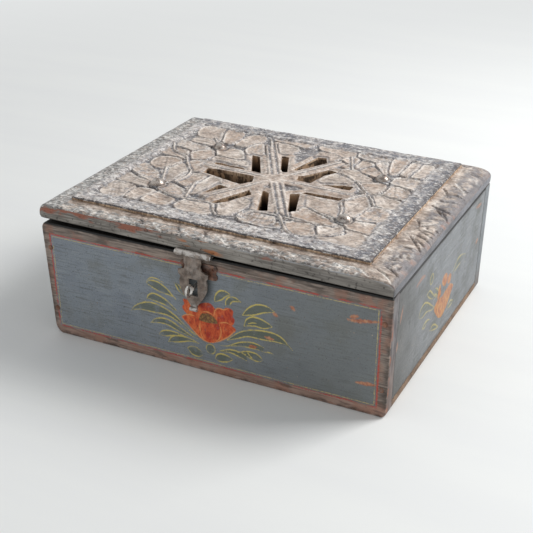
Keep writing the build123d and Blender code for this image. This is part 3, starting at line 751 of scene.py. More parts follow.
def lid_edge_material():
    """The lid's thick edges and the walls of its slots.

    The edges are grey-brown, with red paint left along the front's top and grey paint at the right.
    """
    s = Shader("lid_edges", roughness=0.5, specular=0.4)
    colour, streaks = grained(s, "X", srgb(168, 162, 154), srgb(112, 106, 99), 6.0)
    darker = s.times(s.between(s.axis("X"), 0, 120, 0.05, 0.4), s.between(s.value("sunk"), 0.05, 0.2))
    colour = s.mix(darker, colour, srgb(66, 62, 60))
    patch = s.plus(s.noise(9.0, 5.0, (4, 1, 1), seed=61.0), s.between(s.axis("X"), -60, 10, 0.05, -0.16))
    top = s.between(s.plus(s.value("sunk"), s.noise(4.0, 4.0, (3, 1, 1), seed=63.0)), 0.7, 0.55)
    red = s.times(s.between(patch, 0.46, 0.54), top)
    colour = s.mix(s.times(red, 0.85), colour, srgb(158, 92, 68))
    bare = s.between(s.combine("ABSOLUTE", s.combine("SUBTRACT", s.axis("X"), HASP_X + 4)), 22, 12)
    bare = s.times(bare, s.between(s.noise(3.6, 5.0, (5, 1, 1), seed=66.0), 0.5, 0.6))
    colour = s.mix(s.times(bare, s.between(s.axis("Y"), -105, -110)), colour, srgb(184, 122, 82))
    # Painted highlight along the top arris of the lid's front, from near the middle to the right
    arris_highlight = s.times(s.between(s.value("sunk"), 0.06, 0.0), s.between(s.axis("X"), -20, 40))
    arris_highlight = s.times(arris_highlight, s.between(s.noise(5.0, 5.0, (3, 1, 1), seed=68.0), 0.42, 0.56))
    colour = s.mix(s.times(arris_highlight, 0.8), colour, srgb(178, 180, 186))
    greys = s.noise(9.0, 5.0, (1, 3, 1), seed=71.0)
    side = s.tones(greys, (0.35, srgb(88, 88, 92)), (0.6, srgb(120, 120, 126)))
    colour = s.over(colour, side, s.axis("X"), RIGHT - 0.8, RIGHT - 0.3)
    colour = s.over(colour, GRIME, s.noise(3.0, 5.0, seed=75.0), 0.56, 0.7, 0.7)
    # Painted shadow of the gap under the lid: the edges' lower part turns black
    colour = s.over(colour, BLACK, s.value("sunk"), 0.62, 0.72)
    away_from_edge = s.between(s.value("edge"), 2.0, 6.0)
    # The slot walls darken further down as painted shade, with dark patches
    in_slot = s.mix(s.between(s.value("sunk"), 0.0, 0.4), srgb(176, 146, 118), srgb(70, 56, 46))
    in_slot = s.over(in_slot, srgb(46, 38, 32), s.noise(6.0, 5.0, (1, 1, 2), seed=81.0), 0.46, 0.56, 0.85)
    colour = s.mix(away_from_edge, colour, in_slot)
    s.bump(s.plus(streaks, s.noise(2.2, 5.0, seed=78.0)), 0.4)
    return s.finish(colour)


def iron_material(name, tones, bright, seed=0.0, polish_and_highlight=(), metallic=0.55, roughness=0.3):
    """Hand-worked iron, brown with rust and rubbed bright where it is handled.

    The heights given last are where the front is brightened, each with the height where it is fully
    bright: rubbed bright, and along the top of the strap's barrel also a painted highlight.
    """
    s = Shader(name, metallic=metallic, specular=0.5)
    rust = s.noise(5.0, 6.0, seed=seed)
    fine = s.noise(0.9, 4.0, seed=seed + 3)
    colour = s.tones(rust, *zip((0.36, 0.5, 0.64), tones))
    colour = s.over(colour, srgb(148, 96, 66), fine, 0.6, 0.7, 0.5)
    rubbed = s.times(s.between(s.noise(6.0, 4.0, seed=seed + 7), 0.46, 0.6), bright, clamp=True)
    # Fronts brightened at the given heights: rubbed, and along the barrel's top a painted highlight
    for start, full in polish_and_highlight:
        place = s.plus(s.axis("Z"), s.between(s.noise(2.5, 4.0, seed=seed + 9), 0.3, 0.7, -1.0, 1.0))
        patchy = s.between(s.noise(2.4, 5.0, (2, 1, 1), seed=seed + 13), 0.4, 0.58, 0.15, 0.85)
        patchy = s.times(patchy, s.between(s.axis("Y"), FRONT + 1.5, FRONT))
        rubbed = s.combine("MAXIMUM", rubbed, s.times(s.between(place, start, full), patchy))
    colour = s.mix(rubbed, colour, srgb(208, 203, 198))
    s.bump(s.plus(s.times(rust, 0.4), s.times(fine, 0.3)), 0.12)
    return s.finish(colour, s.between(fine, 0.35, 0.65, roughness, roughness + 0.25))


# The painted motif, drawn for the front wall: across from its left end, and up from the table

FLOWER = (
    ((127, 45), (131, 47), (136, 48), (140, 47), (145, 46), (151, 45.5), (157, 45.5), (162, 47), (168, 48.5),
     (175, 45), (172, 41), (166, 35), (160, 31), (155, 28.3), (151, 27.5), (146, 28.5), (141, 31.5),
     (135, 37), (130, 42)),
    ((128, 53.5), (130, 57), (129, 60.5), (131, 61.5), (134, 60.5), (139, 57), (144, 52), (143, 46),
     (135, 47), (131, 49)),
    ((140, 46), (140, 54), (144, 60), (150, 62.5), (154, 62), (157, 59), (160, 53), (159, 46)),
    ((157, 45), (156, 56), (160, 60), (164, 60), (167, 62), (171, 62), (173, 60), (172.5, 56), (174, 53),
     (172, 48), (167, 46)),
)
FLOWER_CENTRE = ((142.5, 45.5), (143, 49), (146, 52.5), (151, 53.5), (156, 51.5), (159, 48), (159, 46),
                 (152, 45), (145, 45))
FLOWER_LINES = (
    ((127, 45), (131, 47.5), (136, 48.5), (141, 47.5)),
    ((144, 46), (143, 40), (144, 33), (146, 29)),
    ((160, 47), (162, 40), (160, 33), (157, 30)),
    ((160, 47), (166, 49), (171, 48)),
    ((127, 45), (130, 41.5), (136, 36), (141, 31.5), (146, 28.5), (151, 27.5), (156, 28.5)),
    ((156, 28.5), (161, 31.5), (167, 36), (172, 41), (175, 45)),
    ((156, 52), (157, 57), (160, 60), (165, 60), (169, 62)),
    ((145, 53), (150, 54.5), (156, 53)),
)
# Each leaf is its upper line and its lower line, from tip to stalk
LEAVES = (
    (((96, 67.5), (100, 70.5), (107, 70.5), (114, 67), (120, 61.5), (123, 58.5)),
     ((96, 67.5), (100, 65.5), (108, 62.5), (116, 61.5), (121, 60.5))),
    (((95.5, 53), (98, 57.5), (103, 59.5), (111, 57.5), (118, 53), (125, 47)),
     ((97, 54), (104, 53), (113, 51.5), (122, 48))),
    (((80, 39), (84, 44), (90, 48), (98, 50.5), (107, 50), (118, 46), (128, 39), (137, 32.5), (141, 30)),
     ((80, 39), (86, 41.5), (92, 42.5), (102, 42.5), (112, 43), (120, 41), (128, 36.5), (138, 31))),
    (((98, 32), (102, 36.5), (109, 39), (116, 38.5), (124, 35), (134, 30), (141, 28)),
     ((98, 32.5), (106, 34), (114, 34), (122, 31.5), (132, 29))),
    (((105, 23), (108, 27), (114, 29), (121, 28.8), (128, 28)),
     ((105, 23), (112, 23.5), (118, 25.5), (126, 27))),
    (((113.5, 18.5), (116, 23), (121, 26), (128, 27), (136, 26), (142, 24)),
     ((114, 19), (120, 20), (127, 22), (133, 24), (141, 24))),
    (((157, 65), (158, 71), (162, 75.5), (167, 76), (171, 74)),
     ((158, 65.5), (163, 68), (167, 72), (171, 74))),
    (((166.5, 64), (167, 68.5), (170, 72), (175, 72.5), (180, 70)), ((170, 65), (173, 69), (180, 70))),
    (((122, 73.5), (124, 70), (126, 67), (130, 64)), ((124, 73.5), (127, 71), (129.5, 67), (130, 64))),
    (((180.5, 59), (186, 66.5), (193, 71), (201, 71.5), (208, 68.5)),
     ((180.5, 59), (190, 61.5), (199, 65.5), (207, 68))),
    (((182, 50), (184, 56), (189, 59.5), (196, 59.5), (203, 57), (206, 55)),
     ((182, 50), (190, 52), (199, 52), (206, 55))),
    (((167, 34), (176, 42), (184, 46.5), (193, 49), (205, 50), (213, 48), (219, 43), (223, 39)),
     ((167, 33.5), (176, 37.5), (185, 41.5), (197, 42), (210, 43), (218, 42.5))),
    (((168, 29), (178, 34.5), (188, 37), (194, 36.5), (199, 35)),
     ((168, 29), (180, 31.5), (190, 32), (199, 31.5))),
    (((176, 25), (184, 28), (192, 28), (198, 24)), ((180, 25.5), (187, 22.5), (194, 21.5), (198, 24))),
    (((160, 22), (168, 25.5), (175, 26), (183, 25)), ((162, 22), (170, 23), (177, 21.5), (186, 19))),
    (((131, 17.5), (134, 19.5), (139, 20), (144, 17)), ((131, 17.5), (135, 13), (141, 12), (145, 14.5))),
    (((156, 14), (158, 18.5), (164, 20), (172, 17.5)), ((156, 14), (160, 12.5), (167, 14), (172, 17.5))),
)
LOOSE_LINES = (
    ((96, 69), (101, 73), (107, 73), (113, 70.5)),
    ((185, 52.5), (189, 54.5), (193, 55)),
    ((199, 31.5), (203, 32), (207, 31.5)),
    ((184, 27.5), (187, 24.5), (190, 22)),
    ((160, 27.5), (165, 28), (170, 29.5)),
)
# A small oval: its middle, and half its width and height
RING = ((152, 21.8), 4.0, 4.4)
# The right wall's motif: across from the front, and up
SIDE_FLOWER = (
    ((102, 42), (106, 46), (113, 46.5), (122, 45), (132, 46), (142, 47), (148, 44), (152, 41), (147, 37),
     (141, 31), (134, 26.5), (126, 24), (118, 26.5), (112, 31), (106, 37)),
    ((109, 48), (110, 56), (113, 60), (117, 52), (116, 48)),
    ((118, 60), (123, 64), (130, 62), (132, 55), (127, 52), (121, 55)),
    ((133, 56), (139, 58), (143, 54), (141, 49), (135, 50)),
)
SIDE_LEAVES = (
    (((62, 55), (67, 60), (75, 61), (84, 57), (94, 50), (105, 43)),
     ((64, 53), (72, 50), (82, 50), (93, 46), (105, 43))),
    (((79, 66), (85, 67), (91, 63), (98, 57), (106, 51)), ((79, 66), (84, 62), (90, 58), (98, 54))),
    (((73, 39), (80, 41), (88, 40), (94, 37)), ((73, 39), (79, 37), (85, 38))),
    (((100, 62), (105, 60), (110, 55), (113, 50)), ((99, 58), (104, 55), (109, 51))),
    (((95, 26), (103, 27.5), (112, 23), (120, 17)), ((97, 25), (105, 22), (112, 19.5), (120, 17))),
    (((146, 56), (156, 62), (168, 62), (182, 57)), ((148, 54), (160, 55), (172, 55))),
    (((140, 26), (148, 28), (156, 25)), ((141, 24), (149, 23), (156, 24))),
)
SIDE_RING = ((88, 76), 4.0, 4.5)
# Half the width of the line round a leaf
LEAF_LINE = 0.62


def ring_points(centre, across, up, count=16):
    """Points round an oval."""
    angles = [2 * math.pi * i / count for i in range(count)]
    return [(centre[0] + across * math.cos(a), centre[1] + up * math.sin(a)) for a in angles]


def motif(x, z, flower, lines, centre, leaves, loose, ring, line_width):
    """Signed distances to the parts of a flower and its leaves, negative inside them."""
    made = {key: far_away(x) for key in ("petal", "petal_line", "centre", "leaf", "leaf_line")}

    def add(key, distance):
        made[key] = np.minimum(made[key], distance)

    for outline in flower:
        add("petal", near_only(polygon_distance, x, z, rounded(outline)))
    for line in lines:
        add("petal_line", near_only(stroke_distance, x, z, line, 0.6))
    for outline in centre:
        add("centre", near_only(polygon_distance, x, z, outline))
    for upper, lower in leaves:
        add("leaf", near_only(polygon_distance, x, z, smooth_path(upper) + smooth_path(lower)[-2:0:-1]))
        add("leaf_line", near_only(stroke_distance, x, z, upper, line_width))
        add("leaf_line", near_only(stroke_distance, x, z, lower, line_width * 0.85))
    for line in loose:
        add("leaf_line", near_only(stroke_distance, x, z, line, line_width * 0.8))
    for centre_point, across, up in ring:
        outline = ring_points(centre_point, across, up)
        add("leaf", near_only(polygon_distance, x, z, outline))
        add("leaf_line", np.abs(near_only(polygon_distance, x, z, outline)) - line_width * 0.7)
    return made


def front_motif(x, z):
    return motif(x, z, FLOWER, FLOWER_LINES, (FLOWER_CENTRE,), LEAVES, LOOSE_LINES, (RING,), LEAF_LINE)


def side_motif(x, z):
    return motif(x, z, SIDE_FLOWER, (), (), SIDE_LEAVES, (), (SIDE_RING,), LEAF_LINE * 1.2)


# The painted fields: across from low to high, and up from low to high
FRONT_FIELD = (7.5, 291.5, 7.8, 91.3)
SIDE_FIELD = (11.0, 240.0, 7.0, 106.0)
RED_HALF_WIDTH = 0.65
YELLOW_HALF_WIDTH = 0.35
YELLOW_IN_ACROSS = 2.0
YELLOW_IN_UP = 1.8


def rectangle(low_x, high_x, low_z, high_z):
    return [(low_x, low_z), (high_x, low_z), (high_x, high_z), (low_x, high_z)]


def stripes(x, z, low_x, high_x, low_z, high_z):
    """Signed distances to the painted field, its red line and the thin yellow line inside that."""
    outline = rectangle(low_x, high_x, low_z, high_z)
    inner = rectangle(
        low_x + YELLOW_IN_ACROSS, high_x - YELLOW_IN_ACROSS, low_z + YELLOW_IN_UP, high_z - YELLOW_IN_UP
    )
    wobble = 0.5 * rough(x, z, 30.0, 11)
    return {
        "field": polygon_distance(x, z, outline),
        "red_stripe": path_distance(x, z + wobble, outline, closed=True) - RED_HALF_WIDTH,
        "yellow_stripe": path_distance(x, z + wobble, inner, closed=True) - YELLOW_HALF_WIDTH,
    }


# The walls

def body_left(z):
    """The body's left outline at a height, with its lean and worn corners."""
    x = LEFT + LEFT_LEAN * (1 - z / BODY_HEIGHT)
    return x + round_over(z, WEAR_BOTTOM_LEFT) + round_over(BODY_HEIGHT - z, WEAR_TOP_LEFT)


def body_right(z):
    """The body's right outline at a height."""
    x = RIGHT - RIGHT_LEAN * (1 - z / BODY_HEIGHT)
    return x - round_over(z, WEAR_BOTTOM_RIGHT) - round_over(BODY_HEIGHT - z, WEAR_TOP_RIGHT)


def wall_heights(low, high, step, low_round, high_round):
    """Heights for a wall's rows, closer together where its corners are rounded."""
    turns = np.linspace(0, math.pi / 2, 7)
    below = low + low_round * (1 - np.cos(turns))
    above = high - high_round * (1 - np.cos(turns))
    count = int(round((above[-1] - below[-1]) / step)) + 1
    return np.unique(np.concatenate([below, np.linspace(below[-1], above[-1], count), above]).round(4))


def dents(x, z, seed):
    """Unevenness and small dents in a wall's face."""
    return 0.22 * rough(x, z, 45.0, seed) + 0.35 * ramp(rough(x, z, 7.0, seed + 5), 0.55, 0.8)


# About how far apart the walls' mesh points are, and how round their edges are worn
FRONT_STEP = 0.78
SIDE_STEP = 0.9
FRONT_EDGE_ROUND = 1.3
SIDE_EDGE_ROUND = 0.9
SIDE_BOTTOM_ROUND = 0.8
# Where the paint is scraped to rusty wood
FRONT_SCRAPES = (
    ((266, 76.5), (276, 77.5), (290, 80)), ((268, 79), (274, 81)), ((274, 25.5), (290, 27)),
    ((186, 33), (192, 34)), ((200, 45), (207, 44.5)), ((207, 67), (210, 65)), ((221, 76), (224, 74)),
)
FRONT_SCRAPE_HALF_WIDTH = 1.5
SIDE_SCRAPES = (
    ((50, 87), (62, 88.5), (70, 87)), ((14, 50), (16, 58)), ((18, 72), (22, 84)), ((200, 92), (216, 90)),
)
SIDE_SCRAPE_HALF_WIDTH = 1.6
SIDE_PATCH = ((212, 54), (218, 56))
SIDE_PATCH_HALF_WIDTH = 2.0


def scraped(x, z, lines, half_width):
    """Signed distance to the nearest scrape."""
    nearest = far_away(x)
    for line in lines:
        nearest = np.minimum(nearest, stroke_distance(x, z, line, half_width))
    return nearest


def front_wall(material, side):
    """The front board with its flower, replacing the plain one."""
    rows = wall_heights(0, BODY_HEIGHT, FRONT_STEP, WEAR_BOTTOM_LEFT, WEAR_TOP_LEFT)
    low = body_left(rows)[:, None]
    high = body_right(rows)[:, None]
    share = spaced(0, WIDTH, FRONT_STEP)[None, :] / WIDTH
    x = low + (high - low) * share
    z = np.repeat(rows[:, None], x.shape[1], axis=1)
    edge = inward(x, z, low, high, 0, BODY_HEIGHT)
    sink = round_over(edge, FRONT_EDGE_ROUND) + dents(x, z, 3) * ramp(edge, 0, 3)
    nails_low, nails_high = span("corner_nails")
    for nail_x in (nails_low[0] + NAIL_HEAD, nails_high[0] - NAIL_HEAD):
        for nail_z in (nails_low[2] + NAIL_HEAD, nails_high[2] - NAIL_HEAD):
            sink = np.maximum(sink, 0.22 * ramp(NAIL_HEAD + 1.4 - np.hypot(x - nail_x, z - nail_z), 0, 1))
    face = np.stack([x, FRONT + np.maximum(sink, 0), z], axis=-1)
    across = x - LEFT
    values = stripes(across, z, *FRONT_FIELD)
    values.update(front_motif(across, z))
    values["scrape"] = scraped(across, z, FRONT_SCRAPES, FRONT_SCRAPE_HALF_WIDTH)
    # Where the painted shadow beside the hasp's right edge lies
    hasp_right = span("hasp")[1][0] - LEFT
    beside = ((hasp_right - 14, 84), (hasp_right - 10, 78), (hasp_right - 10, 70), (hasp_right - 14, 64))
    values["hasp_shadow"] = stroke_distance(across, z, beside, 10.0)
    values["edge"] = edge
    rings = [flat_back(1, FRONT_INSIDE)]
    cells = grid_cells(*x.shape)
    wall = slab("front_wall", face, cells, rings, [0, 2], [material, side], values, "box")
    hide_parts("front_board")


def side_wall(name, node, right, material, side):
    """The right or left board, with the motif drawn larger and more worn."""
    top_wear = WEAR_TOP_RIGHT if right else WEAR_TOP_LEFT
    rows = wall_heights(SIDE_FLOOR, BODY_HEIGHT, SIDE_STEP, SIDE_BOTTOM_ROUND, top_wear)
    deep = spaced(FRONT_INSIDE, BACK_INSIDE, SIDE_STEP)
    if not right:
        deep = deep[::-1]
    y, z = np.meshgrid(deep, rows)
    edge = inward(y, z, FRONT_INSIDE, BACK_INSIDE, SIDE_FLOOR, BODY_HEIGHT)
    sink = round_over(edge, SIDE_EDGE_ROUND) + np.maximum(dents(y, z, 9) * ramp(edge, 0, 3), 0)
    outline = body_right(z) if right else body_left(z)
    x = outline - sink if right else outline + sink
    face = np.stack([x, y, z], axis=-1)
    along = y - FRONT
    values = stripes(along, z, *SIDE_FIELD)
    values.update(side_motif(along, z))
    scrape = scraped(along, z, SIDE_SCRAPES, SIDE_SCRAPE_HALF_WIDTH)
    values["scrape"] = np.minimum(scrape, scraped(along, z, (SIDE_PATCH,), SIDE_PATCH_HALF_WIDTH))
    # No painted shadow of the hasp on the side walls
    values["hasp_shadow"] = far_away(z)
    values["edge"] = edge
    inside = RIGHT - SIDE_BOARD if right else LEFT + SIDE_BOARD
    rings = [flat_back(0, inside)]
    cells = grid_cells(*x.shape)
    wall = slab(name, face, cells, rings, [1, 2], [material, side], values, "box")
    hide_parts(node)


# The lid

# The star's slots, drawn from its middle
SLOTS = (
    ((-44, 43), (-36, 42), (-18, 8), (-27, 8)),
    ((-20, 53), (-13, 53), (1, 20), (-5, 19)),
    ((3, 28), (9, 27), (23, 54), (17, 66), (10, 64)),
    ((14, 14), (15, 8), (28, 8), (32, 28), (39, 40), (30, 41)),
    ((38, 8), (63, 8), (63, 17), (54, 15)),
    ((31, -16), (64, -16), (65, -10), (33, -12)),
    ((23, -21), (30, -17), (42, -51), (37, -55)),
    ((0, -24), (7, -27), (22, -60), (14, -62)),
    ((-10, -29), (-4, -36), (-18, -64), (-26, -65)),
    ((-37, -30), (-28, -31), (-24, -24), (-18, -16), (-41, -52)),
    ((-63, -3), (-19, -3), (-16, -12), (-23, -21), (-39, -18), (-62, -12)),
    ((-64, 13), (-63, 8), (-32, 8), (-37, 12)),
)
# The star's arms by their angles in degrees, the two with a double ridge, and how far those two reach
SPOKES = (-2, 61, 119, 178, 240, 300)
DOUBLE_RIDGED = (119, 300)
SPOKE_REACH = 82.0
# The middles of the four boss nails
BOSSES = (
    (PANEL_LEFT + 46.5, PANEL_FRONT + 53.9),
    (PANEL_LEFT + 50.9, PANEL_BACK - 62.5),
    (PANEL_RIGHT - 47.9, PANEL_BACK - 66.9),
    (PANEL_RIGHT - 44.5, PANEL_FRONT + 57.6),
)


def slot_outlines():
    """The slots' outlines where they lie in the lid."""
    return [[(HUB_X + x, HUB_Y + y) for x, y in corners] for corners in SLOTS]


class Relief:
    """A carved surface.

    Its height is counted from the panel's top. Its shares say how far it is painted, darkened by cuts and
    painted shade, paled by rubbing and painted highlights, browned and slate grey.
    """

    SHARES = ("paint", "cut", "pale", "brown", "slate")

    def blend(self, share, **levels):
        """Moves the named values towards new levels by a share from 0 to 1."""
        for name, level in levels.items():
            setattr(self, name, getattr(self, name) * (1 - share) + level * share)

    def fade(self, share, *names):
        """Takes a share from 0 to 1 off the named values."""
        for name in names:
            setattr(self, name, getattr(self, name) * (1 - share))

    def at_least(self, **levels):
        """Raises the named values to the given levels where they are lower."""
        for name, level in levels.items():
            setattr(self, name, np.maximum(getattr(self, name), level))

    def shares(self):
        """The shares under the names by which the material reads them."""
        return {name: getattr(self, name) for name in self.SHARES}


# The carved leaves and petals, across from the lid's left end and back from its front
CARVED_SHIFT = (-1.1, 2.5)
CARVED_PETALS = (
    ((191, 105), (203, 106), (214, 105), (218, 97), (222, 87), (226, 77), (219, 73), (209, 76),
     (200, 81), (195, 92)),
    ((198, 77), (204, 73), (214, 70), (223, 66), (228, 58), (215, 57.5), (202, 58), (193, 62), (195, 70)),
    ((219, 100), (221, 108), (225, 116), (230, 119), (235, 114), (238, 106), (236, 92), (231, 82),
     (226, 82), (222, 92)),
    ((241, 111), (247, 107), (255, 107), (257, 114), (255, 123), (248, 128), (241, 127), (237, 121)),
    ((243, 103), (250, 105), (258, 103), (258, 95), (254, 84), (247, 76), (242, 78), (241, 90)),
    ((240, 70), (248, 76), (254, 72), (258, 62), (252, 57), (243, 57), (238, 62)),
    ((241, 54), (250, 54), (257, 48), (257, 34), (246, 32), (232, 34), (227, 38), (236, 45)),
    ((223, 55), (229, 58), (236, 57), (237, 50), (231, 43), (225, 41), (221, 47)),
    ((196, 54), (207, 54), (214, 47), (220, 40), (214, 33), (203, 33), (198, 39), (193, 47)),
    ((162, 53), (172, 54.5), (183, 52), (190, 46), (191, 40), (184, 37.5), (172, 37), (162, 38), (158, 44)),
    ((140, 68), (147, 70), (150, 62), (148, 48), (143, 40), (138, 44), (135, 54), (137, 64)),
    ((108, 50), (118, 50.5), (127, 49), (132, 41), (126, 35), (112, 35), (104, 40)),
    ((78, 52), (88, 50), (93, 44), (90, 37), (78, 36), (70, 40), (73, 48)),
    ((57, 48), (64, 53), (72, 53), (74, 46), (68, 38), (60, 37)),
    ((39, 56), (50, 55), (54, 47), (54, 38), (45, 33), (36, 38), (34, 50)),
    ((80, 74), (88, 68), (97, 62), (99, 56), (90, 55), (80, 58), (75, 64)),
    ((78, 98), (88, 100), (96, 97), (93, 86), (87, 76), (80, 80), (77, 90)),
    ((98, 98), (104, 100), (108, 95), (107, 84), (103, 70), (98, 66), (95, 76), (97, 88)),
    ((64, 80), (60, 90), (58, 102), (63, 113), (69, 112), (73, 103), (72, 90), (69, 81)),
    ((40, 122), (50, 125), (57, 118), (56, 108), (50, 104), (42, 106), (38, 114)),
    ((36, 98), (46, 92), (56, 86), (61, 77), (57, 74), (46, 79), (35, 88)),
    ((33, 77), (46, 71), (58, 68), (58, 62), (44, 62), (33, 68)),
    ((38, 206), (50, 209), (57, 197), (62, 184), (55, 182), (44, 186), (38, 194)),
    ((60, 208), (68, 210), (73, 202), (76, 188), (73, 181), (67, 184), (62, 194)),
    ((86, 206), (94, 206), (96, 195), (92, 183), (85, 180), (82, 190)),
    ((30, 161), (42, 164), (56, 164), (63, 158), (55, 152), (42, 150), (33, 154)),
    ((35, 149), (46, 148), (54, 138), (58, 131), (48, 130), (37, 133), (33, 141)),
    ((60, 152), (70, 153), (74, 145), (70, 135), (63, 134), (58, 142)),
    ((80, 163), (90, 166), (96, 158), (100, 149), (90, 147), (80, 151), (77, 157)),
    ((44, 178), (54, 180), (62, 176), (62, 168), (52, 168), (44, 172)),
    ((100, 186), (106, 184), (112, 176), (110, 168), (104, 166), (98, 174)),
    ((110, 216), (122, 218), (134, 216), (142, 210), (138, 203), (122, 202), (111, 206)),
    ((112, 199), (124, 200), (134, 192), (130, 182), (120, 186), (112, 192)),
    ((84, 143), (96, 146), (108, 144), (112, 138), (100, 137), (86, 136)),
    ((70, 128), (84, 129), (86, 120), (80, 108), (76, 112), (68, 120)),
    ((160, 212), (172, 215), (182, 208), (184, 200), (172, 197), (160, 202), (155, 207)),
    ((192, 212), (206, 215), (217, 209), (215, 200), (203, 196), (193, 202)),
    ((198, 194), (206, 193), (208, 184), (202, 176), (196, 184)),
    ((223, 210), (230, 212), (235, 203), (234, 188), (229, 178), (225, 184), (222, 196)),
    ((237, 206), (244, 208), (246, 196), (243, 178), (239, 188)),
    ((248, 207), (255, 206), (257, 192), (252, 180), (247, 182), (248, 196)),
    ((213, 200), (219, 200), (223, 190), (226, 177), (220, 180), (214, 190)),
    ((203, 178), (210, 184), (218, 178), (222, 169), (217, 167), (208, 170)),
    ((196, 166), (204, 168), (214, 160), (220, 153), (208, 152), (197, 156), (193, 161)),
    ((186, 150), (198, 155), (204, 148), (206, 138), (197, 135), (186, 137), (182, 143)),
    ((215, 146), (225, 148), (236, 146), (238, 138), (231, 130), (222, 136)),
    ((243, 150), (250, 150), (256, 141), (256, 133), (246, 131), (239, 134), (240, 143)),
    ((242, 172), (252, 173), (258, 165), (256, 155), (246, 154), (240, 160)),
    ((160, 196), (170, 198), (175, 188), (168, 180), (160, 186)),
    ((186, 192), (192, 196), (195, 186), (190, 176), (184, 182)),
)
# Narrow ridges between the leaves, drawn in the same way
CARVED_LINES = (
    ((216, 102), (221, 92), (224, 84), (226, 76)),
    ((210, 150), (219, 139), (228, 128), (235, 119), (241, 108)),
    ((229, 129), (238, 131), (247, 130), (257, 129)),
    ((221, 128), (227, 127), (222, 119), (217, 108)),
    ((200, 80), (209, 75), (218, 72), (226, 67)),
    ((157, 42), (161, 54), (175, 56.5), (190, 55.5), (205, 56), (228, 57.5)),
    ((183, 58), (190, 48), (198, 37), (204, 32)),
    ((63, 124), (71, 113), (78, 104), (80, 92), (77, 80)),
    ((54, 105), (58, 96), (62, 87), (66, 79)),
    ((78, 57), (90, 53), (105, 53), (125, 54), (132, 44), (138, 37)),
    ((93, 85), (97, 70), (101, 56)),
    ((112, 190), (107, 199), (102, 208)),
    ((185, 200), (191, 186), (197, 172)),
    ((30, 158), (40, 142), (56, 134), (63, 124)),
    ((56, 186), (63, 178), (68, 172)),
    ((240, 50), (233, 42), (226, 38), (214, 31)),
)


def on_carving(points):
    """Drawn places of the carving, moved to where they lie on the panel."""
    return [(LEFT + x + CARVED_SHIFT[0], FRONT + y + CARVED_SHIFT[1]) for x, y in points]


def arm_forms(x, y):
    """For each arm of the star: its angle, distance in from its sides, place along it, distance aside."""
    hx = x - HUB_X
    hy = y - HUB_Y
    forms = []
    for angle in SPOKES:
        turn = math.radians(angle)
        along = hx * math.cos(turn) + hy * math.sin(turn)
        aside = -hx * math.sin(turn) + hy * math.cos(turn)
        half = 6.4 - 0.02 * np.clip(along, 0, 90) + 0.5 * rough(x, y, 8, 43)
        reach = SPOKE_REACH if angle in DOUBLE_RIDGED else SPOKE_REACH - 12
        inner = np.minimum(half - np.abs(aside), np.minimum(along, (reach - along) * 0.7))
        forms.append((angle, inner, along, aside))
    return forms


# How far a drawn petal may grow towards its neighbours
PETAL_GROWTH = 5.0


def petal_forms(x, y, room):
    """Distance in from the nearest petal's edge, that petal's number, and the place along and aside of it.

    A petal grows until it nearly meets the next one or uses up the room given.
    """
    first = far_away(x)
    second = far_away(x)
    number = np.zeros(x.shape)
    along = np.zeros(x.shape)
    aside = np.zeros(x.shape)
    for count, drawn in enumerate(CARVED_PETALS):
        outline = rounded(on_carving(drawn), 3)
        distance = near_only(polygon_distance, x, y, outline, reach=9.0)
        points = np.array(outline)
        middle = points.mean(axis=0)
        run = np.linalg.svd(points - middle)[2][0]
        closer = distance < first
        second = np.where(closer, np.minimum(second, first), np.minimum(second, distance))
        first = np.where(closer, distance, first)
        number = np.where(closer, count, number)
        along = np.where(closer, (x - middle[0]) * run[0] + (y - middle[1]) * run[1], along)
        aside = np.where(closer, (y - middle[1]) * run[0] - (x - middle[0]) * run[1], aside)
    inner = np.minimum(np.minimum((second - first) / 2, PETAL_GROWTH - first), room)
    return inner + 0.3 * rough(x, y, 5, 27), number, along, aside


# The sunk field, drawn in the same way: across from low to high, and back from low to high
FIELD_SIDES = (30, 260, 31, 213)
FIELD_DEPTH = 1.7


def panel_ground(x, y, field):
    """The panel before anything is carved in its sunk field."""
    across = x - LEFT - CARVED_SHIFT[0]
    deep = y - FRONT - CARVED_SHIFT[1]
    made = Relief()
    made.height = field * (-FIELD_DEPTH + 0.25 * rough(x, y, 6, 21)) + 0.3 * rough(x, y, 9, 22) * (1 - field)
    made.paint = np.full(x.shape, 0.8)
    # The sunk field is darkened, partly as painted shade
    made.cut = 0.3 * field
    made.pale = 0.5 * ramp(rough(x, y, 6, 28), 0.1, 0.45) * (1 - field)
    made.brown = 0.3 * field * ramp(rough(x, y, 18, 24), 0, 0.5)
    right_and_back = np.maximum(ramp(across + 1.5 * rough(x, y, 16, 29), 261, 266), ramp(deep, 214, 217))
    made.slate = right_and_back * (1 - field)
    made.at_least(slate=ramp(across, 180, 240) * ramp(33 - deep, 0, 3) * 0.5)
    made.at_least(slate=0.7 * field)
    return made


def carve_slopes(made, x, y):
    """Bare slopes down to the slots. Returns the distance to the nearest slot's edge."""
    lip = far_away(x)
    for outline in slot_outlines():
        lip = np.minimum(lip, np.abs(near_only(polygon_distance, x, y, outline, reach=9.0)))
    slope = ramp(7.5 - lip, 0, 3)
    made.blend(slope, height=-0.35 - 1.1 * ramp(4.0 - lip, 0, 4) + 0.25 * rough(x, y, 4, 39), paint=0.15)
    made.fade(slope, "slate", "cut")
    made.at_least(brown=0.45 * slope, pale=0.5 * ramp(0.9 - np.abs(lip - 1.0), 0, 0.8))
    return lip


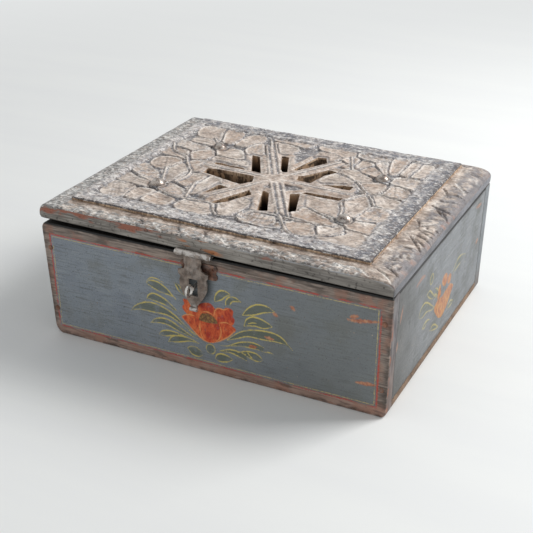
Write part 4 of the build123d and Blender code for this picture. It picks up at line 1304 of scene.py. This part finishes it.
def carve_petals(made, x, y, room, edge_in, field):
    """Petals and leaves, a little hollow, with painted highlights on their rims and gouge strokes along them.
    """
    inner, number, along, aside = petal_forms(x, y, room)
    share = ramp(inner, 0.35, 1.3) * ramp(edge_in, -1.0, 3.5)
    turn = number * 2.4
    lean = 0.06 * (along * np.cos(turn) + aside * np.sin(turn))
    hollow = -0.05 - 0.85 * ramp(inner, 1.0, 4.5) + np.clip(lean, -0.5, 0.5) + 0.3 * rough(x, y, 4.5, 31)
    strokes = np.abs(np.mod(aside + 0.8 * rough(x, y, 9, 33) + number, 3.4) - 1.7)
    stroke = ramp(0.7 - strokes, 0, 0.6) * ramp(inner, 1.2, 2.2) * ramp(rough(x, y, 9, 35), -0.25, 0.25)
    vein = ramp(0.75 - np.abs(aside + 0.5 * rough(x, y, 6, 37)), 0, 0.6) * ramp(inner, 1.6, 2.6)
    vein = vein * ramp(np.sin(number * 3.7), -0.2, 0.2)
    rim = ramp(1.2 - np.abs(inner - 2.0), 0, 1)
    made.blend(
        share,
        height=hollow - 0.25 * stroke - 0.35 * vein,
        paint=0.1 + 0.25 * ramp(np.sin(number * 5.1), 0.5, 1.0),
        brown=0.3 + 0.3 * np.sin(number * 1.7),
        pale=0.9 * rim * ramp(rough(x, y, 12, 38), -0.5, 0.2),
    )
    outline = ramp(1.3 - np.abs(inner - 0.1), 0, 1.1) * field
    made.fade(share, "slate", "cut")
    made.at_least(slate=0.85 * outline, cut=0.55 * outline * ramp(rough(x, y, 14, 36), -0.5, 0.3))
    made.at_least(cut=share * (0.22 * stroke + 0.4 * vein))


def carve_hatching(made, x, y):
    """Hatching in the leaf in front of the star."""
    for start in range(163, 190, 4):
        line = on_carving(((start, 39), (start - 1.5, 52)))
        nick = ramp(1.0 - path_distance(x, y, line), 0, 0.9)
        made.height = made.height - 0.5 * nick
        made.at_least(cut=0.55 * nick)


def carve_star(made, x, y, arms):
    """The star's grooved arms and the hub where they meet."""
    for angle, inner, along, aside in arms:
        share = ramp(inner, -0.3, 0.5)
        if angle in DOUBLE_RIDGED:
            groove = ramp(1.35 - np.abs(np.abs(aside) - 2.5), 0, 0.9) * ramp(along, 4, 12)
            top = 0.3 - 0.75 * groove
            ridge = ramp(1.0 - np.abs(aside), 0, 0.8) + ramp(1.0 - np.abs(np.abs(aside) - 4.8), 0, 0.8)
        else:
            groove = ramp(0.8 - np.abs(np.abs(aside) - 1.6), 0, 0.7) * ramp(along, 10, 20)
            top = 0.5 - 0.14 * np.abs(aside) - 0.25 * groove
            ridge = ramp(1.2 - np.abs(aside), 0, 0.9)
        made.blend(
            share,
            height=top + 0.15 * rough(x, y, 5, 41),
            paint=0.8 * groove,
            pale=0.7 * np.clip(ridge, 0, 1),
            slate=0.9 * groove,
            brown=0.35,
        )
        made.fade(share, "cut")
        made.at_least(cut=0.45 * groove * share)
    hub = ramp(11 - np.hypot(x - HUB_X, y - HUB_Y), 0, 3)
    made.blend(hub, height=0.35 + 0.15 * rough(x, y, 5, 45))
    made.fade(hub, "cut", "slate")
    made.fade(0.7 * hub, "paint")


def carve_ridges(made, x, y):
    """Narrow ridges between the leaves, pale as painted highlights, each between two dark lines of slate
    paint and painted shade.
    """
    for drawn in CARVED_LINES:
        distance = near_only(path_distance, x, y, smooth_path(on_carving(drawn)))
        ridge = ramp(1.0 - distance, 0, 0.7)
        groove = ramp(1.0 - np.abs(distance - 1.7), 0, 0.8)
        made.blend(0.8 * groove, height=-1.3)
        made.blend(ridge, height=0.1)
        made.fade(groove, "pale")
        made.fade(ridge, "paint", "slate", "cut")
        made.at_least(pale=0.7 * ridge, paint=0.9 * groove, slate=0.8 * groove, cut=0.3 * groove)


def carve_boss_rings(made, x, y):
    """Rings round the boss nails."""
    for bx, by in BOSSES:
        away = np.hypot(x - bx, y - by)
        ring = ramp(1.5 - np.abs(away - 7.6), 0, 1.2)
        under = ramp(7.2 - away, 0, 1)
        made.height = made.height - 0.7 * ring
        made.blend(under, height=-0.25)
        made.fade(under, "cut")
        made.at_least(cut=0.9 * ring, brown=0.7 * ramp(11 - away, 0, 3))


def wear_panel(made, x, y):
    """Worn pits and cracks."""
    pits = ramp(rough(x, y, 3.2, 51), 0.5, 0.75)
    cracks = ramp(0.05 - np.abs(rough(x * 0.35, y, 9, 61)), 0, 0.05) * ramp(rough(x, y, 24, 63), 0.0, 0.3)
    made.height = made.height - 0.45 * pits - 0.35 * cracks
    made.at_least(cut=0.3 * pits)
    made.at_least(cut=0.55 * cracks)


def panel_relief(x, y):
    """The whole carving of the panel."""
    edge_in = inward(x - LEFT - CARVED_SHIFT[0], y - FRONT - CARVED_SHIFT[1], *FIELD_SIDES)
    edge_in = edge_in + 1.8 * rough(x, y, 22, 5)
    field = ramp(edge_in, -1, 2)
    arms = arm_forms(x, y)
    arm_edge = np.max([arm[1] for arm in arms], axis=0)
    made = panel_ground(x, y, field)
    lip = carve_slopes(made, x, y)
    carve_petals(made, x, y, np.minimum(-arm_edge, lip - 1.0) - 0.5, edge_in, field)
    carve_hatching(made, x, y)
    carve_star(made, x, y, arms)
    carve_ridges(made, x, y)
    carve_boss_rings(made, x, y)
    wear_panel(made, x, y)
    return made


def lid_drop(x, y):
    """How far the lid board's top is below its full height near its worn edges."""
    left = round_over(x - LEFT, LID_LEFT_ROUND)
    t = np.clip((LID_RIGHT_ROUND_WIDTH - (RIGHT - x)) / LID_RIGHT_ROUND_WIDTH, 0, 1)
    right = (LID_BOARD - LID_RIGHT_FLAT) * (1 - np.sqrt(1 - t**2.4))
    front_or_back = np.minimum(y - FRONT, BACK - y)
    return left + right + round_over(front_or_back, LID_LONG_EDGE_ROUND)


# Cuts in the lid's borders, across from its left end and back from its front, with their half widths
DARK_CUTS = (
    (((281, 95), (286, 98.5), (292, 104)), 1.4), (((289.5, 98), (290.5, 94.5)), 1.1),
    (((296, 99.5), (298, 97)), 1.1),
    (((286, 81), (292, 79), (300, 76.5)), 1.3), (((283.5, 76), (290, 68), (299, 57)), 1.0),
    (((288, 74), (294, 70), (300, 66)), 0.8), (((287, 88), (293, 86), (299, 85)), 0.8),
    (((285, 90), (291, 91), (298, 91)), 0.7), (((283, 36), (290, 41.5), (300, 48)), 1.4),
    (((282, 34), (288, 33), (296, 31)), 0.8), (((283, 31), (289, 26), (296, 22)), 0.8),
    (((279, 138.5), (288, 134.5), (300, 132)), 1.5), (((284, 134), (290, 127), (296, 121)), 0.9),
    (((290, 131), (294, 126), (299, 119)), 0.9), (((291, 203), (295, 202), (300, 200)), 1.7),
    (((276, 178), (281, 170), (284, 164)), 0.9), (((282, 166), (290, 168), (298, 166)), 0.8),
    (((281, 150), (290, 152), (299, 158)), 0.9), (((283, 112), (290, 115), (298, 119)), 0.8),
    (((284, 58), (291, 57), (299, 53)), 0.8), (((277, 108), (281, 103), (283, 96)), 0.7),
    (((282, 216), (290, 219), (299, 219)), 0.9), (((281, 186), (288, 183), (296, 182)), 0.7),
    (((282, 22), (289, 19), (297, 13)), 0.9), (((281, 14), (288, 10), (294, 5)), 0.9),
    (((120, 12), (124, 7), (126, 2)), 1.0), (((142, 14), (146, 8), (147, 1)), 0.9),
    (((240, 13), (246, 9), (249, 3)), 1.0), (((232, 12), (235, 7), (236, 2)), 0.9),
    (((86, 12), (91, 8), (95, 1)), 0.9),
)
PALE_CUTS = (
    (((33, 13), (41, 10), (47, 7), (54, -1)), 1.3), (((75, 0), (78, 5), (84, 10)), 1.1),
    (((100, 10), (106, 4), (113, 0)), 0.9), (((132, 0), (134, 4), (138, 6)), 0.9),
    (((152, 13), (160, 8), (166, 3), (171, -1)), 1.2), (((182, 15), (190, 12), (198, 11), (203, 9)), 1.3),
    (((188, 0), (192, 4), (199, 9)), 1.2), (((213, 11), (219, 7), (226, 0)), 1.3),
    (((209, 8), (210, 4), (211, 0)), 0.9),
    (((250, 0), (254, 5), (259, 9)), 1.1), (((270, 10), (275, 5), (280, 1)), 1.0),
    (((284, 12), (290, 8), (297, 1)), 1.1),
    (((280, 195), (287, 186), (296, 176)), 1.1), (((284, 100), (289, 104), (292, 106)), 0.7),
    (((285, 39.5), (291, 44), (297, 48)), 0.7), (((290, 208), (295, 206.5), (299, 205)), 1.0),
    (((8, 60), (14, 66), (19, 76)), 1.1), (((6, 118), (12, 124), (19, 128)), 1.0),
    (((7, 170), (13, 178), (19, 182)), 1.0), (((4, 30), (9, 36), (16, 40)), 0.9),
    (((5, 205), (10, 210), (17, 214)), 0.9),
)


def border_carving(x, y):
    """How deep the borders are cut, and how dark or pale the cuts are."""
    across = x - LEFT
    deep = y - FRONT
    depth = np.zeros(x.shape)
    dark = np.zeros(x.shape)
    pale = np.zeros(x.shape)
    for line, width in DARK_CUTS:
        share = ramp(-near_only(stroke_distance, across, deep, line, width), -0.6, 0.5)
        depth = np.maximum(depth, 1.3 * share)
        dark = np.maximum(dark, share)
    for line, width in PALE_CUTS:
        share = ramp(-near_only(stroke_distance, across, deep, line, width), -0.5, 0.5)
        depth = np.maximum(depth, 0.7 * share)
        dark = dark * (1 - share)
        pale = np.maximum(pale, share)
    slanted = rough(x + 0.8 * y, (y - x) * 0.3, 7, 73)
    nicks = ramp(0.09 - np.abs(slanted), 0, 0.07) * ramp(rough(x, y, 9, 75), -0.2, 0.2)
    return np.maximum(depth, 0.4 * nicks), np.maximum(dark * 0.8, 0.55 * nicks * (1 - pale)), pale


def grey_patches(across, deep):
    """Grey paint left on the lid's right border, but for a bare stretch, its front end and its inner side."""
    ragged = 4.0 * rough(across, deep, 11, 77)
    bare = ramp(deep + ragged, 56, 62) * ramp(108 - deep - ragged, 0, 6)
    front = ramp(20 - deep - ragged, 0, 6)
    return 0.75 * ramp(across + 0.4 * ragged, 280, 284) * (1 - np.maximum(bare, front))


def merged(*parts):
    """Grid places from several stretches, without doubles."""
    return np.unique(np.concatenate(parts).round(4))


# About how far apart the panel's mesh points are, and how round its edges are worn
PANEL_STEP = 0.9
PANEL_EDGE_ROUND = 1.3
# How high the carving may stand above the panel's top
HIGHEST_CARVING = 0.6


def carved_panel(material, side):
    """The carved and pierced panel, replacing the plain one."""
    xs = spaced(PANEL_LEFT, PANEL_RIGHT, PANEL_STEP)
    ys = spaced(PANEL_FRONT, PANEL_BACK, PANEL_STEP)
    x, y = np.meshgrid(xs, ys)
    cells = pierce(x, y, slot_outlines(), 0.45)
    relief = panel_relief(x, y)
    edge = inward(x, y, *PANEL_SIDES)
    worn_edge = 0.5 * ramp(rough(x, y, 8, 81), 0.3, 0.7) * ramp(3 - edge, 0, 3)
    height = relief.height - round_over(edge, PANEL_EDGE_ROUND) - worn_edge
    z = LID_BOARD + PANEL + np.minimum(height, HIGHEST_CARVING)
    # A painted highlight just in from the panel's edge, and painted shade on its outer rounding
    arris = ramp(1.0 - np.abs(edge - 2.2), 0, 1) * ramp(rough(x, y, 10, 83), -0.3, 0.3)
    relief.at_least(pale=0.5 * arris, cut=0.9 * ramp(1.1 - edge, 0, 0.6))
    dark_arris = ramp(5.0 - (PANEL_RIGHT - x) + 1.2 * rough(x, y, 7, 85), 0, 3) * ramp(y - PANEL_FRONT, 2, 8)
    relief.at_least(cut=0.62 * dark_arris)
    relief.fade(dark_arris, "pale")
    face = np.stack([x, y, z], axis=-1)
    rings = [flat_back(2, LID_BOARD)]
    piece = lid_slab("lid_carving", face, cells, rings, [material, side], relief.shares())
    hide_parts("carved_panel")


def lid_slab(name, face, cells, rings, materials, values):
    """A board of the lid, drawn level and then placed with the lid's tilt."""
    piece = slab(name, face, cells, rings, [0, 1], materials, values, "lid")
    mesh = piece.data
    points = np.empty(len(mesh.vertices) * 3, dtype=np.float32)
    mesh.vertices.foreach_get("co", points)
    placed = on_lid(points.reshape(-1, 3) / MM) * MM
    mesh.vertices.foreach_set("co", placed.astype(np.float32).reshape(-1))
    mesh.update()
    return piece


def lid_ring(height, inset, wear):
    """A ring for the lid board's edges, drawn in by inset at the left and by wear at the front and right."""
    def move(points):
        moved = points.copy()
        moved[:, 2] = np.minimum(height, points[:, 2] - 0.2)
        moved[:, 0] += inset * np.clip(1 - (points[:, 0] - LEFT) / LID_WEAR_REACH, 0, 1)
        moved[:, 0] -= wear * np.clip(1 - (RIGHT - points[:, 0]) / LID_WEAR_REACH, 0, 1)
        moved[:, 1] += wear * np.clip(1 - (points[:, 1] - FRONT) / LID_WEAR_REACH, 0, 1)
        return moved
    return move


# The star's slots lie within this distance of its middle, across and deep
SLOTS_WITHIN = 67.0
# The fine grid of the borders goes on this far under the panel
FINE_UNDER_PANEL = 3.0


def lid_plank(material, side, below):
    """The lid board with its worn, chip-cut borders, replacing the plain one.

    Its grid is fine in the borders and round the star's slots, and coarse under the panel between them.
    """
    xs = merged(
        spaced(LEFT, PANEL_LEFT + FINE_UNDER_PANEL, 0.85),
        np.linspace(PANEL_LEFT + FINE_UNDER_PANEL, HUB_X - SLOTS_WITHIN, 14),
        np.linspace(HUB_X - SLOTS_WITHIN, HUB_X + SLOTS_WITHIN, 112),
        np.linspace(HUB_X + SLOTS_WITHIN, PANEL_RIGHT - FINE_UNDER_PANEL, 14),
        spaced(PANEL_RIGHT - FINE_UNDER_PANEL, RIGHT, 0.75),
    )
    ys = merged(
        spaced(FRONT, PANEL_FRONT + FINE_UNDER_PANEL, 0.75),
        np.linspace(PANEL_FRONT + FINE_UNDER_PANEL, HUB_Y - SLOTS_WITHIN, 12),
        np.linspace(HUB_Y - SLOTS_WITHIN, HUB_Y + SLOTS_WITHIN, 112),
        np.linspace(HUB_Y + SLOTS_WITHIN, PANEL_BACK - FINE_UNDER_PANEL, 9),
        spaced(PANEL_BACK - FINE_UNDER_PANEL, BACK, 0.85),
    )
    x, y = np.meshgrid(xs, ys)
    cells = pierce(x, y, slot_outlines(), 0.6)
    foot = -inward(x, y, *PANEL_SIDES)
    border = ramp(foot, -1, 0.5)
    carving, dark, pale = border_carving(x, y)
    carving = carving * border
    wear = (0.3 + 0.3 * rough(x, y, 12, 91) + 0.5 * ramp(rough(x, y, 3.0, 93), 0.45, 0.7)) * border
    drop = lid_drop(x, y)
    z = LID_BOARD - drop - carving - np.maximum(wear, 0)
    edge = inward(x, y, LEFT, RIGHT, FRONT, BACK)
    deep = y - FRONT
    near_panel = ramp(deep, 9, 12)
    front_and_back = np.maximum(0.55 * (1 - near_panel), 0.45 * ramp(7 - (BACK - y), 0, 3))
    painted = front_and_back * ramp(RIGHT - 24 - x, 0, 4)
    painted = np.maximum(painted, 0.85 * ramp(PANEL_LEFT + 1 - x, 0, 3))
    end = ramp(5.0 - (RIGHT - x), 0, 3)
    values = {
        "paint": np.maximum(painted, 0.3 * ramp(drop, 0.3, 2)) * (1 - end),
        # Dark chip cuts in the borders, darkened partly as painted shade
        "cut": dark,
        "pale": pale,
        "brown": np.maximum(0.25, 0.65 * ramp(3.2 - foot, 0, 2.5)),
        "slate": np.maximum(0.6 * ramp(7 - (BACK - y), 0, 2), grey_patches(x - LEFT, deep)),
        "edge": edge,
        "end": end,
    }

    face = np.stack([x, y, z], axis=-1)
    rings = [
        lid_ring(LID_LEFT_UNDER, 0.0, 0.0),
        lid_ring(LID_LEFT_UNDER * 0.3, 0.9, 0.2),
        lid_ring(0.0, LID_LEFT_UNDER, 1.1),
    ]
    piece = lid_slab("lid_plank", face, cells, rings, [material, side, below], values)
    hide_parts("lid_board")


# Stage, light and camera

BACKDROP = srgb(228, 230, 230)
FLOOR_SIZE = 60.0


def seen(tree):
    """1 for what the camera sees, also in metal or through glass, and 0 for what lights the object."""
    path = tree.nodes.new("ShaderNodeLightPath")
    total = path.outputs["Is Camera Ray"]
    for ray in ("Is Glossy Ray", "Is Transmission Ray"):
        both = tree.nodes.new("ShaderNodeMath")
        both.operation = "ADD"
        both.use_clamp = True
        tree.links.new(total, both.inputs[0])
        tree.links.new(path.outputs[ray], both.inputs[1])
        total = both.outputs[0]
    return total


def blend_shaders(tree, share, first, second, output):
    """Sends a mix of two shaders to a material's or the world's output."""
    both = tree.nodes.new("ShaderNodeMixShader")
    tree.links.new(share, both.inputs[0])
    tree.links.new(first.outputs[0], both.inputs[1])
    tree.links.new(second.outputs[0], both.inputs[2])
    tree.links.new(both.outputs[0], tree.nodes[output].inputs["Surface"])


def floor():
    """A pale floor that fades into the backdrop's tone away from the box."""
    s = Shader("floor", roughness=0.6, specular=0.2)
    tone = s.mix(s.between(s.noise(60.0, 3.0, (6, 1, 1)), 0.3, 0.7), srgb(228, 229, 228), srgb(231, 232, 230))
    material = s.finish(tone)
    away = s.nodes.new("ShaderNodeVectorMath")
    away.operation = "LENGTH"
    s.tree.links.new(s.place, away.inputs[0])
    far = s.between(away.outputs["Value"], 0.4, 1.5)
    backdrop = s.nodes.new("ShaderNodeEmission")
    backdrop.inputs["Color"].default_value = BACKDROP
    blend_shaders(s.tree, s.times(far, seen(s.tree)), s.surface, backdrop, "Material Output")
    bpy.ops.mesh.primitive_plane_add(size=FLOOR_SIZE, location=(0, 0, 0))
    plane = bpy.context.object
    plane.name = "floor"
    plane.data.materials.append(material)


def area_light(name, place, target, size, watts):
    """A square light that shines from a place towards a target, both in metres."""
    data = bpy.data.lights.new(name, "AREA")
    data.shape = "SQUARE"
    data.size = size
    data.energy = watts
    light = bpy.data.objects.new(name, data)
    light.location = place
    light.rotation_euler = (Vector(target) - Vector(place)).to_track_quat("-Z", "Y").to_euler()
    bpy.context.scene.collection.objects.link(light)


def lights():
    """Soft light all round and one window light. What the camera sees round the box is the plain backdrop."""
    world = bpy.data.worlds.new("studio")
    bpy.context.scene.world = world
    world.use_nodes = True
    tree = world.node_tree
    glow = tree.nodes["Background"]
    glow.inputs["Color"].default_value = srgb(238, 240, 242)
    glow.inputs["Strength"].default_value = 0.62
    backdrop = tree.nodes.new("ShaderNodeBackground")
    backdrop.inputs["Color"].default_value = BACKDROP
    blend_shaders(tree, seen(tree), glow, backdrop, "World Output")
    area_light("window", (1.05, 0.8, 1.22), (0, 0, 0.05), 0.8, 28.0)


# The camera, fitted to the box's corners in the photograph
FOCAL_PIXELS = 1039.65
IMAGE = 533.0
AZIMUTH = 0.44165
ELEVATION = 0.53678
ROLL = -0.00635
DISTANCE = 778.82
TARGET_X = 219.02
TARGET_Z = 42.93
CENTRE_U = 288.0
CENTRE_V = 345.0


def camera():
    """The photograph's view, whose middle lies beside the middle of the picture."""
    forward = Vector((-math.sin(AZIMUTH) * math.cos(ELEVATION), math.cos(AZIMUTH) * math.cos(ELEVATION),
                      -math.sin(ELEVATION)))
    right = forward.cross(Vector((0, 0, 1))).normalized()
    down = forward.cross(right)
    c = math.cos(ROLL)
    s = math.sin(ROLL)
    right_turned = right * c + down * s
    down_turned = down * c - right * s
    target = Vector((LEFT + TARGET_X, FRONT, TARGET_Z))
    eye = (target - forward * DISTANCE) * MM
    data = bpy.data.cameras.new("camera")
    data.sensor_width = 36.0
    data.lens = FOCAL_PIXELS / IMAGE * data.sensor_width
    data.shift_x = (IMAGE / 2 - CENTRE_U) / IMAGE
    data.shift_y = (CENTRE_V - IMAGE / 2) / IMAGE
    data.clip_start = 0.01
    shot = bpy.data.objects.new("camera", data)
    rows = [(right_turned[i], -down_turned[i], -forward[i]) for i in range(3)]
    shot.matrix_world = Matrix.Translation(eye) @ Matrix(rows).to_4x4()
    bpy.context.scene.collection.objects.link(shot)
    bpy.context.scene.camera = shot


def dress(node, material, bevel=0.0):
    """Gives a CAD node its material and, where a bevel is given, slightly rounded edges."""
    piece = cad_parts[node]
    piece.data.materials.clear()
    piece.data.materials.append(material)
    if bevel:
        edges = piece.modifiers.new("edges", "BEVEL")
        edges.width = bevel * MM
        edges.segments = 2
        edges.limit_method = "ANGLE"
        edges.angle_limit = math.radians(50)


FRONT_TONES = (srgb(128, 136, 146), srgb(138, 146, 154), srgb(126, 130, 130))
SIDE_TONES = (srgb(110, 113, 116), srgb(120, 123, 127), srgb(102, 104, 103))
FRONT_WOOD = (srgb(168, 152, 140), srgb(100, 88, 80))
SIDE_WOOD = (srgb(122, 102, 92), srgb(88, 74, 66))
FRONT_FLOWER_TONES = (srgb(178, 54, 34), srgb(206, 84, 44), srgb(226, 116, 62))
SIDE_FLOWER_TONES = (srgb(150, 84, 52), srgb(182, 116, 66), srgb(196, 150, 88))
END_PAINT = (srgb(92, 90, 92), srgb(128, 124, 124))
# How much of the red line, yellow line, leaves, flower and rusty wear shows
FRONT_STRENGTHS = (0.85, 0.7, 0.95, 1.0, 0.65)
SIDE_STRENGTHS = (0.3, 0.0, 0.5, 0.85, 0.3)
# Painted shade on the walls: along which axis, from where to where, how much and to which colour
FRONT_SHADE_GRADIENT = ("X", -60, 120, 0.6, srgb(104, 106, 101))
SIDE_SHADE_GRADIENT = ("Y", FRONT + 90, FRONT + 10, 0.85, srgb(82, 82, 80))
# Bare wood and old paint of the carved panel, and of the lid's borders, from dark to light
PANEL_BARE = (srgb(130, 116, 106), srgb(184, 168, 155), srgb(212, 198, 186), srgb(232, 222, 212))
PANEL_PAINT = (srgb(110, 108, 110), srgb(158, 155, 156), srgb(198, 192, 189), srgb(230, 224, 219))
RIM_BARE = (srgb(112, 100, 90), srgb(174, 159, 147), srgb(212, 199, 187), srgb(236, 227, 217))
RIM_PAINT = (srgb(88, 88, 88), srgb(134, 133, 131), srgb(172, 170, 167), srgb(214, 211, 206))
BROWNED = (srgb(92, 82, 76), srgb(116, 104, 95), srgb(132, 120, 110))
SILVER = (srgb(150, 144, 138), srgb(198, 193, 188), srgb(226, 223, 220))
RUSTY = (srgb(80, 64, 58), srgb(118, 84, 68), srgb(148, 108, 88))
STRAP = (srgb(96, 86, 78), srgb(128, 115, 106), srgb(146, 133, 122))
DOMES = (srgb(84, 72, 68), srgb(136, 124, 116), srgb(182, 172, 164))
METAL_BEVEL = 0.2
BACK_BEVEL = 0.6


def dress_walls():
    sawn = top_edge_wood("wall_edges", srgb(142, 118, 98), srgb(92, 76, 62), END_PAINT)
    front = wall_material(
        "front_paint", "X", FRONT_TONES, FRONT_WOOD, FRONT_FLOWER_TONES, FRONT_STRENGTHS, FRONT_SHADE_GRADIENT
    )
    side = wall_material(
        "side_paint", "Y", SIDE_TONES, SIDE_WOOD, SIDE_FLOWER_TONES, SIDE_STRENGTHS, SIDE_SHADE_GRADIENT
    )
    front_wall(front, sawn)
    side_wall("right_wall", "right_board", True, side, sawn)
    side_wall("left_wall", "left_board", False, side, sawn)
    dress("back_board", back_material(), BACK_BEVEL)


def dress_lid_and_bottom():
    slots = plain_wood("slot_walls", "Z", srgb(220, 192, 162), srgb(128, 102, 82), 5.0, shade=4.0, dirt=1.0)
    carved_panel(carved_material("lid_carved", PANEL_BARE, PANEL_PAINT), slots)
    bare_inside = plain_wood("inside_wood", "X", srgb(146, 120, 98), srgb(96, 78, 64), 7.0)
    lid_plank(carved_material("lid_rim", RIM_BARE, RIM_PAINT), lid_edge_material(), bare_inside)
    dress("bottom_board", bare_inside)


def dress_iron():
    iron = iron_material("iron_brown", BROWNED, 0.12)
    bright = iron_material("iron_rubbed", SILVER, 0.9, 5.0, metallic=0.9, roughness=0.18)
    rusty = iron_material("iron_rusty", RUSTY, 0.1, 9.0)
    # Heights from and at which the barrel is rubbed bright with a painted highlight, and the finger grip
    # rubbed
    hasp_end = span("hasp")[0][2]
    barrel = (BODY_HEIGHT, BODY_HEIGHT + 1.5)
    finger = (hasp_end + 7, hasp_end + 3)
    strap = iron_material("iron_strap", STRAP, 0.15, 2.0, (barrel, finger))
    domes = iron_material("iron_domes", DOMES, 0.5, 14.0, metallic=0.75, roughness=0.2)
    for node in ("hasp", "hasp_leaf"):
        dress(node, strap, METAL_BEVEL)
    dress("strike_plate", rusty, METAL_BEVEL)
    for node in ("padlock_eye", "hasp_pin"):
        dress(node, bright)
    dress("boss_nails", domes)
    for group in ("corner", "bottom", "strike", "hasp_leaf", "hinge_box", "hinge_lid"):
        dress(group + "_nails", rusty)
    for hand in ("left", "right"):
        dress("hinge_pin_" + hand, iron)
        dress("hinge_box_leaf_" + hand, iron, METAL_BEVEL)
        dress("hinge_lid_leaf_" + hand, iron, METAL_BEVEL)


def main():
    dress_walls()
    dress_lid_and_bottom()
    dress_iron()
    floor()
    lights()
    camera()
    bpy.context.scene.view_settings.view_transform = "Standard"


main()
